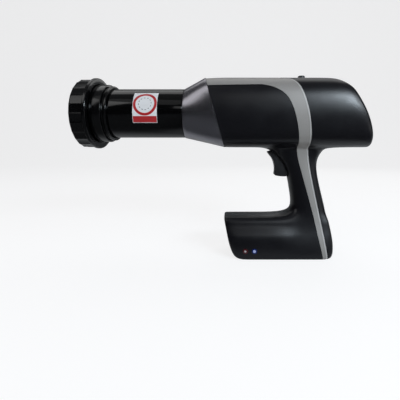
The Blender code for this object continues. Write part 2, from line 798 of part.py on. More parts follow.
def band_region():
    """Side outline of the grey band, between its two edges."""
    top, bottom = rake_points(HALF_GAP)
    lower = shifted_line(band_front_line(), HALF_GAP)
    start_x = rake_x(lower[0][1] - AXIS_HEIGHT) + HALF_GAP
    upper = shifted_line(band_rear_line(), -HALF_GAP)
    outline = [(start_x, lower[0][1]), *lower[1:], (lower[-1][0], -OVERRUN), (upper[-1][0], -OVERRUN)]
    outline += list(reversed(upper))
    outline += [(upper[0][0], top[1]), top]
    return outline


def rear_region():
    """Side outline of the rear cover, behind the band."""
    edge = shifted_line(band_rear_line(), HALF_GAP)
    far = BODY_REAR_X + OVERRUN
    top = HOUSING_TOP + OVERRUN
    return [*edge, (edge[-1][0], -OVERRUN), (far, -OVERRUN), (far, top), (edge[0][0], top)]


def shell_piece(name, outline, surface, y_low, y_high, hollow):
    """One moulding of the housing: outer skin, kept to its region, hollowed and cut at the floor."""
    skin = housing_cage(name, 0.0, 1)
    skin.data.materials.append(surface)
    region = prism(name + "_region", outline, y_low, y_high)
    combine(skin, region, "INTERSECT")
    combine(skin, hollow, "DIFFERENCE")
    below = block(
        name + "_floor", (FOOT_FRONT_X - OVERRUN, -BODY_HALF_WIDTH - OVERRUN, -OVERRUN),
        (BODY_REAR_X + OVERRUN, BODY_HALF_WIDTH + OVERRUN, 0.0), None,
    )
    combine(skin, below, "DIFFERENCE")
    return skin


def thin_flats(piece):
    """Join the faces of flat stretches, which need no inner edges."""
    step = piece.modifiers.new("Flats", "DECIMATE")
    step.decimate_type = "DISSOLVE"
    step.angle_limit = FLAT_ANGLE
    return piece


def ring_flutes(grip):
    """Shallow finger flats round the grip of the lock ring."""
    bm = bmesh.new()
    for index in range(FLUTE_COUNT):
        angle = math.tau * (index + 0.5) / FLUTE_COUNT + FLUTE_TURN
        away = grip + FLUTE_R - FLUTE_DEPTH
        made = bmesh.ops.create_cone(
            bm, cap_ends=True, segments=FLUTE_STEPS, radius1=FLUTE_R, radius2=FLUTE_R,
            depth=RING_FLANGE_X - RING_FRONT_X,
        )
        verts = made["verts"]
        for vert in verts:
            x, y, z = vert.co
            vert.co = (z + (RING_FRONT_X + RING_FLANGE_X) / 2 - GAP, y, x)
            vert.co.y += away * math.sin(angle)
            vert.co.z += AXIS_HEIGHT + away * math.cos(angle)
    return add_object("ring_flutes", bm, None)


def lock_ring():
    """Grip ring that turns on the muzzle: faceted grip, rear flange, dished front and back."""
    inner = TUBE_R + GAP
    grip = inner + RING_WALL
    flange = grip + RING_FLANGE_RISE
    mouth = inner + RING_MOUTH_STEP
    dish = inner + RING_REAR_STEP
    rear = COLLAR_FRONT_X - GAP
    profile = [
        (RING_FRONT_X, mouth), (RING_FRONT_X, grip - RING_CHAMFER),
        (RING_FRONT_X + RING_CHAMFER, grip), (RING_FLANGE_X, grip),
        (RING_FLANGE_X + EDGE_BREAK, flange), (rear - EDGE_BREAK, flange),
        (rear, flange - EDGE_BREAK), (rear, dish), (rear - RING_REAR_DEPTH, dish - EDGE_BREAK),
        (rear - RING_REAR_DEPTH, inner), (RING_FRONT_X + RING_MOUTH_DEPTH, inner),
    ]
    ring = turned("lock_ring", profile, gloss_black())
    return combine(ring, ring_flutes(grip), "DIFFERENCE")


def front_collar():
    """Turned collar behind the lock ring, with a groove and a lip."""
    inner = TUBE_R + GAP
    collar = inner + COLLAR_WALL
    groove = inner + GROOVE_WALL
    lip = inner + LIP_WALL
    profile = [
        (COLLAR_FRONT_X, inner), (COLLAR_FRONT_X, collar - EDGE_BREAK), (COLLAR_FRONT_X + EDGE_BREAK, collar),
        (COLLAR_REAR_X - EDGE_BREAK, collar), (COLLAR_REAR_X, collar - EDGE_BREAK), (COLLAR_REAR_X, groove),
        (LIP_FRONT_X, groove), (LIP_FRONT_X, lip - EDGE_BREAK), (LIP_FRONT_X + EDGE_BREAK, lip),
        (LIP_REAR_X - EDGE_BREAK, lip), (LIP_REAR_X, lip - EDGE_BREAK), (LIP_REAR_X, inner),
    ]
    return turned("front_collar", profile, gloss_black())


def beam_tube():
    """The long black tube, butted against the nose cone."""
    rear = NOSE_FRONT_X - GAP
    profile = [
        (TUBE_FRONT_X, TUBE_BORE_R), (TUBE_FRONT_X, TUBE_R - EDGE_BREAK), (TUBE_FRONT_X + EDGE_BREAK, TUBE_R),
        (rear, TUBE_R), (rear, TUBE_BORE_R),
    ]
    return turned("beam_tube", profile, gloss_black())


def adapter_r():
    """Outer radius of the sleeve that fills the tube's bore and the nose cone's seat."""
    return TUBE_BORE_R - GAP


def tube_adapter():
    """Sleeve half in the tube and half in the nose cone, which joins the two."""
    front = NOSE_FRONT_X - GAP - ADAPTER_LAP
    rear = NOSE_FRONT_X + NOSE_SEAT_DEPTH - GAP
    inner = adapter_r() - ADAPTER_WALL
    profile = [(front, inner), (front, adapter_r()), (rear, adapter_r()), (rear, inner)]
    return turned("tube_adapter", profile, aluminium(), SMALL_STEPS)


def tube_liner():
    """Lead-lined sleeve inside the beam tube."""
    outer = TUBE_BORE_R - GAP
    inner = outer - LINER_WALL
    front = TUBE_FRONT_X + EDGE_BREAK
    rear = NOSE_FRONT_X - GAP - ADAPTER_LAP - GAP
    profile = [(front, inner), (front, outer), (rear, outer), (rear, inner)]
    return turned("tube_liner", profile, lead(), SMALL_STEPS)


def collimator():
    """Lead disc with the round aperture that limits the beam."""
    front = NOSE_FRONT_X + NOSE_SEAT_DEPTH + GAP
    rear = front + COLLIMATOR_THICK
    outer = adapter_r()
    profile = [(front, APERTURE_R), (front, outer), (rear, outer), (rear, APERTURE_R + EDGE_BREAK)]
    return turned("collimator", profile, lead(), SMALL_STEPS)


def beam_filter():
    front = NOSE_FRONT_X + NOSE_SEAT_DEPTH + GAP + COLLIMATOR_THICK + GAP
    start = (front, 0.0, AXIS_HEIGHT)
    end = (front + FILTER_THICK, 0.0, AXIS_HEIGHT)
    return rod("beam_filter", FILTER_R, start, end, aluminium())


def lofted_shell(name, rings, surface):
    """A closed wall through rings of points, the last ring joined back to the first."""
    bm = bmesh.new()
    loops = [[bm.verts.new(point) for point in ring] for ring in rings]
    for loop, following in zip(loops, loops[1:] + loops[:1]):
        for index in range(len(loop)):
            after = (index + 1) % len(loop)
            bm.faces.new((loop[index], loop[after], following[after], following[index]))
    return add_object(name, bm, surface)


def nose_cone():
    """Grey cone that blends the round tube into the raked body, with a seat for the adapter."""
    outer = limit_ring(full_ring(body_section(0.0)))
    inner = limit_ring(full_ring(body_section(WALL)))
    turns = [math.atan2(y, z) for y, z in outer]
    seat_x = NOSE_FRONT_X + NOSE_SEAT_DEPTH

    def circle(place, radius):
        return [(place, radius * math.sin(turn), AXIS_HEIGHT + radius * math.cos(turn)) for turn in turns]

    def raked(ring):
        return [(rake_x(z) - HALF_GAP, y, AXIS_HEIGHT + z) for y, z in ring]

    rings = [
        circle(NOSE_FRONT_X, NOSE_FRONT_R), raked(outer), raked(inner),
        circle(seat_x, NOSE_FRONT_R - WALL), circle(seat_x, TUBE_BORE_R), circle(NOSE_FRONT_X, TUBE_BORE_R),
    ]
    return lofted_shell("nose_cone", rings, cone_grey())


def tank_box(name, low_x, high_x, inset, surface):
    half = BODY_HALF_WIDTH - SIDE_BOW - WALL - GAP - inset
    height = TANK_HALF_HEIGHT - inset
    low = (low_x, -half, AXIS_HEIGHT - height)
    high = (high_x, half, AXIS_HEIGHT + height)
    return block(name, low, high, surface, corner=TANK_CORNER - inset, axis=0)


def generator_tank():
    """Oil tank of the generator, open at the back, with a snout for the beam port."""
    tank = tank_box("generator_tank", TANK_FRONT_X, TANK_REAR_X, 0.0, aluminium())
    snout_front = NOSE_FRONT_X + NOSE_SEAT_DEPTH + COLLIMATOR_THICK + FILTER_THICK + GAP * 3
    snout_rear = TANK_FRONT_X + WALL
    snout = rod("tank_snout", SNOUT_R, (snout_front, 0.0, AXIS_HEIGHT), (snout_rear, 0.0, AXIS_HEIGHT), None)
    port = rod(
        "tank_port", SNOUT_BORE_R, (snout_front - WALL, 0.0, AXIS_HEIGHT),
        (TANK_FRONT_X + WALL * 2, 0.0, AXIS_HEIGHT), None,
    )
    hollow = tank_box("tank_hollow", TANK_FRONT_X + TANK_WALL, TANK_REAR_X + WALL, TANK_WALL, None)
    combine(tank, snout, "UNION")
    combine(tank, hollow, "DIFFERENCE")
    combine(tank, port, "DIFFERENCE")
    return tank


def tank_lid():
    start = TANK_REAR_X + GAP
    return tank_box("tank_lid", start, start + TANK_LID_THICK, 0.0, aluminium())


def port_window():
    """Plastic window in the tank's snout."""
    start = (TANK_FRONT_X - WINDOW_THICK, 0.0, AXIS_HEIGHT)
    end = (TANK_FRONT_X, 0.0, AXIS_HEIGHT)
    return rod("port_window", SNOUT_BORE_R - GAP, start, end, clear_glass())


def xray_insert():
    """Glass x-ray tube across the tank, held by its anode and cathode stems."""
    half = GLASS_HALF_LENGTH
    wall = BODY_HALF_WIDTH - SIDE_BOW - WALL - GAP - TANK_WALL - GAP
    rod("xray_glass", GLASS_R, (FOCUS_X, -half, AXIS_HEIGHT), (FOCUS_X, half, AXIS_HEIGHT), clear_glass(),
        SMALL_STEPS, edge=GLASS_R / 3)
    near = half + GAP
    rod("anode_stem", STEM_R, (FOCUS_X, near, AXIS_HEIGHT), (FOCUS_X, wall, AXIS_HEIGHT),
        copper(), PIN_STEPS)
    rod("cathode_stem", STEM_R, (FOCUS_X, -wall, AXIS_HEIGHT), (FOCUS_X, -near, AXIS_HEIGHT),
        steel(), PIN_STEPS)


def hv_transformer():
    floor = AXIS_HEIGHT - TANK_HALF_HEIGHT + TANK_WALL + GAP
    low = (TANK_REAR_X - TRANSFORMER_DEPTH, -TRANSFORMER_HALF_WIDTH, floor)
    high = (TANK_REAR_X - GAP, TRANSFORMER_HALF_WIDTH, floor + TRANSFORMER_HEIGHT)
    return block("hv_transformer", low, high, copper(), corner=WALL, axis=1)


def wall_board(name, place):
    """A circuit board that stands across the body, its edges in the side walls."""
    half = BODY_HALF_WIDTH - SIDE_BOW - WALL - GAP
    low = (place, -half, AXIS_HEIGHT - BOARD_HALF_HEIGHT)
    high = (place + BOARD_THICK, half, AXIS_HEIGHT + BOARD_HALF_HEIGHT)
    return block(name, low, high, circuit_green())


def panel_frame():
    """Frame of the control panel: its X points out of the rear face."""
    place = (rear_x(PANEL_Z) - PANEL_SINK, 0.0, AXIS_HEIGHT + PANEL_Z)
    return add_empty("panel_frame", place, (0.0, -PANEL_TILT, 0.0))


def panel_block(name, frame, centre_z, half_width, half_height, low_x, high_x, surface, corner,
                centre_y=0.0):
    low = (low_x, centre_y - half_width, centre_z - half_height)
    high = (high_x, centre_y + half_width, centre_z + half_height)
    return block(name, low, high, surface, frame, corner, axis=0)


def key_places():
    first = -(KEY_COUNT - 1) / 2
    return [(first + index) * KEY_PITCH for index in range(KEY_COUNT)]


def cut_panel_pocket(cover, frame):
    """Pocket for the control panel in the rear cover, with a ledge behind it."""
    pocket = panel_block(
        "panel_pocket", frame, 0.0, PANEL_HALF_WIDTH + GAP, PANEL_HALF_HEIGHT + GAP,
        -PANEL_THICK - GAP, OVERRUN, None, PANEL_CORNER,
    )
    through = panel_block(
        "panel_through", frame, 0.0, PANEL_HALF_WIDTH - POCKET_LEDGE, PANEL_HALF_HEIGHT - POCKET_LEDGE,
        -OVERRUN, WALL, None, PANEL_CORNER,
    )
    combine(cover, pocket, "DIFFERENCE")
    combine(cover, through, "DIFFERENCE")


def control_panel(frame):
    """Panel plate with a window and key holes, its lens, display, board and keys."""
    plate = panel_block(
        "rear_panel", frame, 0.0, PANEL_HALF_WIDTH, PANEL_HALF_HEIGHT, -PANEL_THICK, 0.0,
        satin_black(), PANEL_CORNER,
    )
    window = panel_block(
        "panel_window", frame, LENS_RISE, LENS_HALF_WIDTH - LENS_REST, LENS_HALF_HEIGHT - LENS_REST,
        -PANEL_THICK - WALL, WALL, None, KEY_CORNER,
    )
    recess = panel_block(
        "panel_recess", frame, LENS_RISE, LENS_HALF_WIDTH + GAP, LENS_HALF_HEIGHT + GAP,
        -LENS_THICK - GAP, WALL, None, KEY_CORNER,
    )
    combine(plate, window, "DIFFERENCE")
    combine(plate, recess, "DIFFERENCE")
    panel_block("display_lens", frame, LENS_RISE, LENS_HALF_WIDTH, LENS_HALF_HEIGHT, -LENS_THICK, 0.0,
                clear_glass(), KEY_CORNER)
    back = -PANEL_THICK - GAP
    panel_block("display_module", frame, LENS_RISE, LENS_HALF_WIDTH - LENS_REST, LENS_HALF_HEIGHT - LENS_REST,
                back - DISPLAY_THICK, back, display_dark(), 0.0)
    board = back - DISPLAY_THICK - GAP
    panel_block("display_board", frame, 0.0, PANEL_HALF_WIDTH - POCKET_LEDGE - GAP,
                PANEL_HALF_HEIGHT - POCKET_LEDGE - GAP, board - BOARD_THICK, board, circuit_green(), 0.0)
    for index, place in enumerate(key_places()):
        hole = panel_block(
            "key_hole_%d" % (index + 1), frame, -KEY_DROP, KEY_HALF_WIDTH + GAP, KEY_HALF_HEIGHT + GAP,
            -PANEL_THICK - WALL, WALL, None, KEY_CORNER, place,
        )
        combine(plate, hole, "DIFFERENCE")
        panel_block("key_%d" % (index + 1), frame, -KEY_DROP, KEY_HALF_WIDTH, KEY_HALF_HEIGHT,
                    board + KEY_TRAVEL + GAP, KEY_PROUD, key_grey(), KEY_CORNER, place)


def crown_z():
    return AXIS_HEIGHT + BODY_TOP + BODY_CROWN


def crown_rod(name, radius, low, high, surface=None, edge=0.0):
    """An upright bar on the power button's axis."""
    return rod(name, radius, (BUTTON_X, 0.0, low), (BUTTON_X, 0.0, high), surface, SMALL_STEPS, edge=edge)


def power_button(cover):
    """Round push button in the crown, its flange under the shell, over a cup-shaped switch."""
    inside = crown_z() - WALL
    stop = inside - GAP * 2
    floor = stop - BUTTON_FLANGE_THICK - BUTTON_TRAVEL - GAP
    combine(cover, crown_rod("button_seat", SEAT_R, inside + WALL / 2, crown_z() + SEAT_PROUD), "UNION")
    combine(cover, crown_rod("button_bore", BUTTON_R + GAP, inside - WALL, crown_z() + OVERRUN), "DIFFERENCE")
    root = stop - BUTTON_FLANGE_THICK / 2
    button = crown_rod("power_button", BUTTON_R, root, crown_z() + BUTTON_PROUD, satin_black(), BUTTON_EDGE)
    combine(button, crown_rod("button_flange", BUTTON_FLANGE_R, stop - BUTTON_FLANGE_THICK, stop), "UNION")
    cup = crown_rod("power_switch", SWITCH_CUP_R, floor - SWITCH_CUP_FLOOR, stop, switch_black())
    combine(cup, crown_rod("switch_well", BUTTON_FLANGE_R + GAP, floor, stop + WALL), "DIFFERENCE")


def pivot_rod(name, radius, half_length, surface=None):
    """A bar across the grip on the trigger's pivot."""
    start = (PIVOT_X, -half_length, PIVOT_Z)
    end = (PIVOT_X, half_length, PIVOT_Z)
    return rod(name, radius, start, end, surface, PIN_STEPS)


def trigger_outline():
    shape = [(PIVOT_X + x * TRIGGER_REACH, PIVOT_Z + z * TRIGGER_DROP) for x, z in TRIGGER_SHARES]
    hub = []
    for step in range(HUB_STEPS):
        angle = HUB_ARC * step / (HUB_STEPS - 1)
        hub.append((PIVOT_X + HUB_R * math.cos(angle), PIVOT_Z + HUB_R * math.sin(angle)))
    crest = [(PIVOT_X + x * TRIGGER_REACH, PIVOT_Z + z * TRIGGER_DROP) for x, z in TRIGGER_CREST_SHARES]
    return shape + hub + crest


def trigger():
    """Sculpted trigger that swings on a pin across the grip."""
    outline = trigger_outline()
    body = prism("trigger", outline, -TRIGGER_HALF_WIDTH, TRIGGER_HALF_WIDTH, satin_black(),
                 bevel=EDGE_BREAK)
    bore = pivot_rod("trigger_bore", PIVOT_R + PIVOT_CLEARANCE, OVERRUN)
    around = SPRING_R + SPRING_WIRE_R + GAP
    half = SPRING_HALF_LENGTH + GAP
    notch = block("trigger_notch", (PIVOT_X - around, -half, PIVOT_Z - around),
                  (PIVOT_X + OVERRUN, half, PIVOT_Z + OVERRUN), None)
    combine(body, bore, "DIFFERENCE")
    combine(body, notch, "DIFFERENCE")
    return body


def trigger_slot():
    """Cut through the front of the grip, with room for the trigger to swing."""
    left = PIVOT_X - TRIGGER_REACH - OVERRUN
    right = PIVOT_X + TRIGGER_REACH
    low = PIVOT_Z - TRIGGER_DROP - SLOT_CLEARANCE * 2
    high = PIVOT_Z + HUB_R + SLOT_CLEARANCE
    half = TRIGGER_HALF_WIDTH + SLOT_CLEARANCE
    return as_cutter(block("trigger_slot", (left, -half, low), (right, half, high), None))


def trigger_pin(halves):
    """Cross pin, its ends in blind bores of the two grip halves."""
    pin = pivot_rod("trigger_pin", PIVOT_R, PIN_HALF_LENGTH, steel())
    bore = pivot_rod("pin_bore", PIVOT_R + GAP, PIN_HALF_LENGTH + GAP)
    for half in halves:
        combine(half, bore, "DIFFERENCE")
    return pin


def trigger_spring():
    """Torsion coil on the pin, in the notch between the trigger's two lugs."""
    bm = bmesh.new()
    start = SPRING_WIRE_R - SPRING_HALF_LENGTH
    rise = SPRING_PITCH / SPRING_TURN_POINTS
    loops = []
    for index in range(SPRING_TURNS * SPRING_TURN_POINTS + 1):
        turn = math.tau * index / SPRING_TURN_POINTS
        loop = []
        for side in range(SPRING_WIRE_SIDES):
            angle = math.tau * side / SPRING_WIRE_SIDES
            away = SPRING_R + SPRING_WIRE_R * math.cos(angle)
            across = start + rise * index + SPRING_WIRE_R * math.sin(angle)
            place = (PIVOT_X + away * math.cos(turn), across, PIVOT_Z + away * math.sin(turn))
            loop.append(bm.verts.new(place))
        loops.append(loop)
    for loop, following in zip(loops, loops[1:]):
        for index in range(SPRING_WIRE_SIDES):
            after = (index + 1) % SPRING_WIRE_SIDES
            bm.faces.new((loop[index], loop[after], following[after], following[index]))
    bm.faces.new(loops[0])
    bm.faces.new(loops[-1])
    return add_object("trigger_spring", bm, steel())


def trigger_switch():
    """Micro switch behind the trigger, on a bracket that spans the grip."""
    face = PIVOT_X + SWITCH_REACH
    low = PIVOT_Z - SWITCH_DROP - SWITCH_HEIGHT / 2
    far_corner = (face + SWITCH_DEPTH, SWITCH_HALF_WIDTH, low + SWITCH_HEIGHT)
    block("trigger_switch", (face, -SWITCH_HALF_WIDTH, low), far_corner, switch_black(),
          corner=EDGE_BREAK, axis=1)
    back = face + SWITCH_DEPTH + GAP
    block("switch_bracket", (back, -BRACKET_HALF_WIDTH, low - WALL),
          (back + BOARD_THICK, BRACKET_HALF_WIDTH, low + SWITCH_HEIGHT + WALL), steel())


def cut_sole(shell):
    """Opening in the sole for the battery cover."""
    half = COVER_HALF_WIDTH + GAP
    low = (COVER_FRONT_X - GAP, -half, -WALL)
    high = (COVER_REAR_X + GAP, half, WALL * 2)
    hole = block("sole_hole_" + shell.name, low, high, None, corner=COVER_CORNER + GAP)
    combine(shell, hole, "DIFFERENCE")


def battery_cover():
    thick = WALL - FOOT_BELOW
    return block("battery_cover", (COVER_FRONT_X, -COVER_HALF_WIDTH, 0.0),
                 (COVER_REAR_X, COVER_HALF_WIDTH, thick), satin_black(), corner=COVER_CORNER)


def battery():
    """Four round cells in a tray on the sole cover."""
    floor = WALL - FOOT_BELOW + GAP
    side = CELL_R * 2 + GAP * 2
    low = (CELL_FRONT_X - GAP - TRAY_WALL, -side - TRAY_WALL, floor)
    high = (CELL_FRONT_X + CELL_LENGTH + GAP + TRAY_WALL, side + TRAY_WALL, floor + TRAY_RIM)
    tray = block("battery_tray", low, high, switch_black())
    well_low = (CELL_FRONT_X - GAP, -side, floor + TRAY_WALL)
    well_high = (CELL_FRONT_X + CELL_LENGTH + GAP, side, floor + TRAY_RIM + WALL)
    combine(tray, block("tray_well", well_low, well_high, None), "DIFFERENCE")
    bottom = floor + TRAY_WALL + GAP + CELL_R
    number = 1
    for row in range(2):
        for hand in (-1, 1):
            y = hand * (CELL_R + GAP / 2)
            z = bottom + row * (CELL_R * 2 + GAP)
            rod("battery_cell_%d" % number, CELL_R, (CELL_FRONT_X, y, z), (CELL_FRONT_X + CELL_LENGTH, y, z),
                cell_blue(), SMALL_STEPS)
            number += 1


def charge_inlet(cover):
    """Round charging inlet with its centre pin, through the heel of the foot."""
    skin = heel_x(INLET_Z)
    start = (skin - OVERRUN / 2, 0.0, INLET_Z)
    hole = rod("inlet_hole", INLET_R + GAP, start, (skin + OVERRUN, 0.0, INLET_Z), None, SMALL_STEPS)
    combine(cover, hole, "DIFFERENCE")
    back = skin - INLET_LENGTH
    rim = skin + INLET_PROUD
    floor = rim - INLET_DEPTH
    pin_tip = rim - INLET_PROUD * 2
    profile = [
        (back, 0.0), (back, INLET_R), (rim - INLET_PROUD / 2, INLET_R), (rim, INLET_R - INLET_PROUD / 2),
        (rim, INLET_BORE_R), (floor, INLET_BORE_R), (floor, INLET_PIN_R), (pin_tip, INLET_PIN_R),
        (pin_tip, 0.0),
    ]
    return turned("charge_inlet", profile, steel(), SMALL_STEPS, INLET_Z)


def housing():
    """Skins of the housing, hollowed by one shared cavity and cut for what shows through them."""
    hollow = as_cutter(housing_cage("housing_hollow", WALL, 0))
    slot = trigger_slot()
    wide = BODY_HALF_WIDTH + OVERRUN
    left = shell_piece("housing_left", front_region(), satin_black(), -wide, -HALF_GAP, hollow)
    right = shell_piece("housing_right", front_region(), satin_black(), HALF_GAP, wide, hollow)
    for half in (left, right):
        combine(half, slot, "DIFFERENCE")
        cut_sole(half)
    band = shell_piece("trim_band", band_region(), band_grey(), -wide, wide, hollow)
    cover = shell_piece("rear_cover", rear_region(), satin_black(), -wide, wide, hollow)
    trigger_pin((left, right))
    for piece in (left, right, band, cover):
        thin_flats(piece)
    return cover


def main():
    clear_scene()
    cover = housing()
    nose_cone()
    frame = panel_frame()
    cut_panel_pocket(cover, frame)
    control_panel(frame)
    power_button(cover)
    charge_inlet(cover)
    lock_ring()
    front_collar()
    beam_tube()
    tube_adapter()
    tube_liner()
    collimator()
    beam_filter()
    generator_tank()
    tank_lid()
    port_window()
    xray_insert()
    hv_transformer()
    wall_board("inverter_board", INVERTER_X)
    wall_board("control_board", CONTROL_X)
    trigger()
    trigger_spring()
    trigger_switch()
    battery_cover()
    battery()


main()
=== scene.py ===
"""Looks of the handheld dental x-ray unit: detailed mouldings, finishes, floor, light and camera.

Metres, +Z up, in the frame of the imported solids. The beam axis runs along X, the muzzle towards -X.
"""

import math

import bmesh
import bpy
from mathutils import Matrix, Vector


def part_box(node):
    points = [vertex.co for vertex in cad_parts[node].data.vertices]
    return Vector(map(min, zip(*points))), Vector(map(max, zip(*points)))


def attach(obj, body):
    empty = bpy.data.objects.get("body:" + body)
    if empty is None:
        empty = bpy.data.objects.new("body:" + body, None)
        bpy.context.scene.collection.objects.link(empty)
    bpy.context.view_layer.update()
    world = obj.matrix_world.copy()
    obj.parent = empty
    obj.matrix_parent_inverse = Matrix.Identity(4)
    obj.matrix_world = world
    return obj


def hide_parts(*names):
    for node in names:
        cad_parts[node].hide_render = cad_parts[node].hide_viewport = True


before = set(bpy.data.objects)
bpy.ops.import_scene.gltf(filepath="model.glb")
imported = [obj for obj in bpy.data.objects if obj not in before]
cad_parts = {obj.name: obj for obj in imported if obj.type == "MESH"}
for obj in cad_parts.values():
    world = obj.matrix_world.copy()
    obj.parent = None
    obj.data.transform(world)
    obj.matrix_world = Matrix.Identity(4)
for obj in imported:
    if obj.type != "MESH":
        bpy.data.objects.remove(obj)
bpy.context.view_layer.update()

MM = 0.001

# --- sizes shared with the solids ---

# Clearances and walls shared by every piece
GAP = 0.3 * MM
HALF_GAP = GAP / 2
WALL = 3.0 * MM
OVERRUN = 30.0 * MM

# Beam axis and the barrel-shaped body, measured from the axis
AXIS_HEIGHT = 190.0 * MM
BODY_HALF_WIDTH = 44.0 * MM
BODY_TOP = 45.8 * MM
BODY_CROWN = 1.4 * MM
SIDE_BOW = 1.8 * MM
BODY_BOTTOM = 46.0 * MM
CROWN_Z = AXIS_HEIGHT + BODY_TOP + BODY_CROWN
HOUSING_WIDE = BODY_HALF_WIDTH + OVERRUN
TOP_CORNER_R = 25.0 * MM
BOTTOM_CORNER_R = 22.5 * MM
BODY_REAR_X = 114.3 * MM
REAR_SWEEP = 58.5 * MM
REAR_SWEEP_POWER = 1.8
REAR_BELLY_DROP = 40.0 * MM
REAR_LOWER_R = 0.4 * MM
REAR_TOP_DROP = 5.7 * MM
REAR_TOP_PUSH = 8.5 * MM
REAR_BACK_PUSH = 2.6 * MM
REAR_EDGE_LENGTH = 7.5 * MM
REAR_LOWER_EDGE = 5.0 * MM
REAR_EDGE_INSET = 5.0 * MM
REAR_BULGE = 1.5 * MM

# Shares across the crown and the belly, and the turns of the rounded corners
CROWN_SHARES = ((0.0, 1.0), (0.5, 0.8), (1.0, 0.25))
BELLY_SHARES = (1.0, 0.78, 0.54, 0.27, 0.0)
CORNER_TURNS = (math.radians(30), math.radians(60))

# Counts of the body's and the foot's lattice points, and the stations that the grip joins
ACROSS_COUNT = 4
BODY_HIGH_COUNT = 6
FOOT_HIGH_COUNT = 8
BODY_ROOT_STATIONS = (2, 6)
FOOT_ROOT_STATIONS = (3, 7)

# Nose cone, from the round tube to the raked front of the body
NOSE_FRONT_X = -128.7 * MM
NOSE_FRONT_R = 33.6 * MM
NOSE_SEAT_DEPTH = 12.0 * MM
NOSE_RAKE_X = -87.4 * MM
NOSE_RAKE = math.tan(math.radians(15.2))
RAKE_LAP = 18.0 * MM

# Stations of the body behind the rake: place on the belly line, and how far each leans with the rear
BODY_MID_X = -52.0 * MM
ROOT_FRONT_X = -24.0 * MM
ROOT_REAR_X = 63.0 * MM
ROOT_STATION_SHARES = (0.0, 0.24, 0.5, 0.76, 1.0)
ROOT_LEAN_SHARES = (0.0, 0.06, 0.16, 0.28, 0.43)

# Grip, as heights of its front, side and back, with its front, back and half width
GRIP_HALF_WIDTH = 19.0 * MM
GRIP_DEPTH = 40.0 * MM
GRIP_POWER = 2.5
GRIP_ANGLES = (0, 12, 25, 38, 53, 71, 90, 109, 127, 142, 155, 168, 180)
GRIP_TOP_Z = AXIS_HEIGHT - BODY_BOTTOM
FOOT_TOP_Z = 52.9 * MM
GRIP_BACK_X = 48.0 * MM
GRIP_LEVEL_SHARES = (
    # front height, side height, back height, front place, back place, half width
    (0.960, 0.960, 0.955, -1.520, 0.260, 1.06),
    (0.855, 0.855, 0.855, -1.290, 0.090, 1.02),
    (0.725, 0.725, 0.725, -1.070, 0.025, 1.00),
    (0.565, 0.565, 0.565, -0.940, 0.070, 1.00),
    (0.385, 0.385, 0.385, -0.880, 0.160, 1.00),
    (0.210, 0.180, 0.205, -0.815, 0.260, 1.02),
    (0.068, 0.030, 0.085, -0.838, 0.325, 1.06),
)

# Battery foot
FOOT_HALF_WIDTH = 30.8 * MM
FOOT_NECK_HALF_WIDTH = 21.5 * MM
FOOT_FRONT_X = -76.4 * MM
FOOT_REAR_X = 66.3 * MM
FOOT_FRONT_RAKE = 0.21
FOOT_TOE_R = 12.0 * MM
FOOT_HEEL_R = 8.0 * MM
FOOT_EDGE_LENGTH = 5.0 * MM
FOOT_EDGE_INSET = 2.6 * MM
FOOT_REAR_LEAN = 8.9 * MM
FOOT_LEAN_POWER = 1.5
FOOT_BELOW = 0.6 * MM
FOOT_MID_X = -40.0 * MM
FOOT_NECK_X = 2.0 * MM
FOOT_STATION_SHARES = (0.0, 0.30, 0.60, 0.88)
FOOT_TOP_SHARES = ((0.0, 1.0), (0.34, 1.0), (0.66, 0.995), (0.90, 0.955), (1.0, 0.875))
FOOT_SIDE_SHARES = ((0.10, 0.795), (0.30, 0.715), (0.54, 0.625), (0.77, 0.530), (0.95, 0.330), (1.0, 0.085))
FOOT_ROOT_SHARES = ((0.10, 0.795), (0.20, 0.715), (0.33, 0.625), (0.48, 0.530), (0.76, 0.330), (1.0, 0.085))
FOOT_SOLE_CORNER = 1.6 * MM
FOOT_SOLE_HALF_WIDTH = 27.0 * MM
FOOT_SOLE_SHARES = (0.0, 0.26, 0.52, 0.78, 1.0)

# Grey band that crosses the top and runs down both sides: points as shares of the rear and of the height
HOUSING_TOP = AXIS_HEIGHT + BODY_TOP
BAND_SILL_RISE = 31.9 * MM
BAND_SILL_Z = AXIS_HEIGHT + BAND_SILL_RISE
BAND_FRONT_SHARES = (
    (-0.245, 0.946), (-0.165, 0.9385), (-0.09, 0.9255), (-0.01, 0.902), (0.05, 0.867),
    (0.098, 0.815), (0.13, 0.756), (0.153, 0.695), (0.168, 0.635), (0.173, 0.59),
    (0.186, 0.545), (0.236, 0.455), (0.298, 0.345), (0.36, 0.225), (0.398, 0.125),
    (0.432, 0.04), (0.452, -0.02),
)
BAND_REAR_SHARES = (
    (-0.08, 1.035), (-0.02, 1.002), (0.06, 0.993), (0.125, 0.976), (0.175, 0.942),
    (0.22, 0.892), (0.256, 0.83), (0.281, 0.765), (0.295, 0.7), (0.301, 0.64),
    (0.305, 0.59), (0.318, 0.525), (0.35, 0.435), (0.392, 0.335), (0.43, 0.24),
    (0.462, 0.145), (0.492, 0.04), (0.505, -0.02),
)

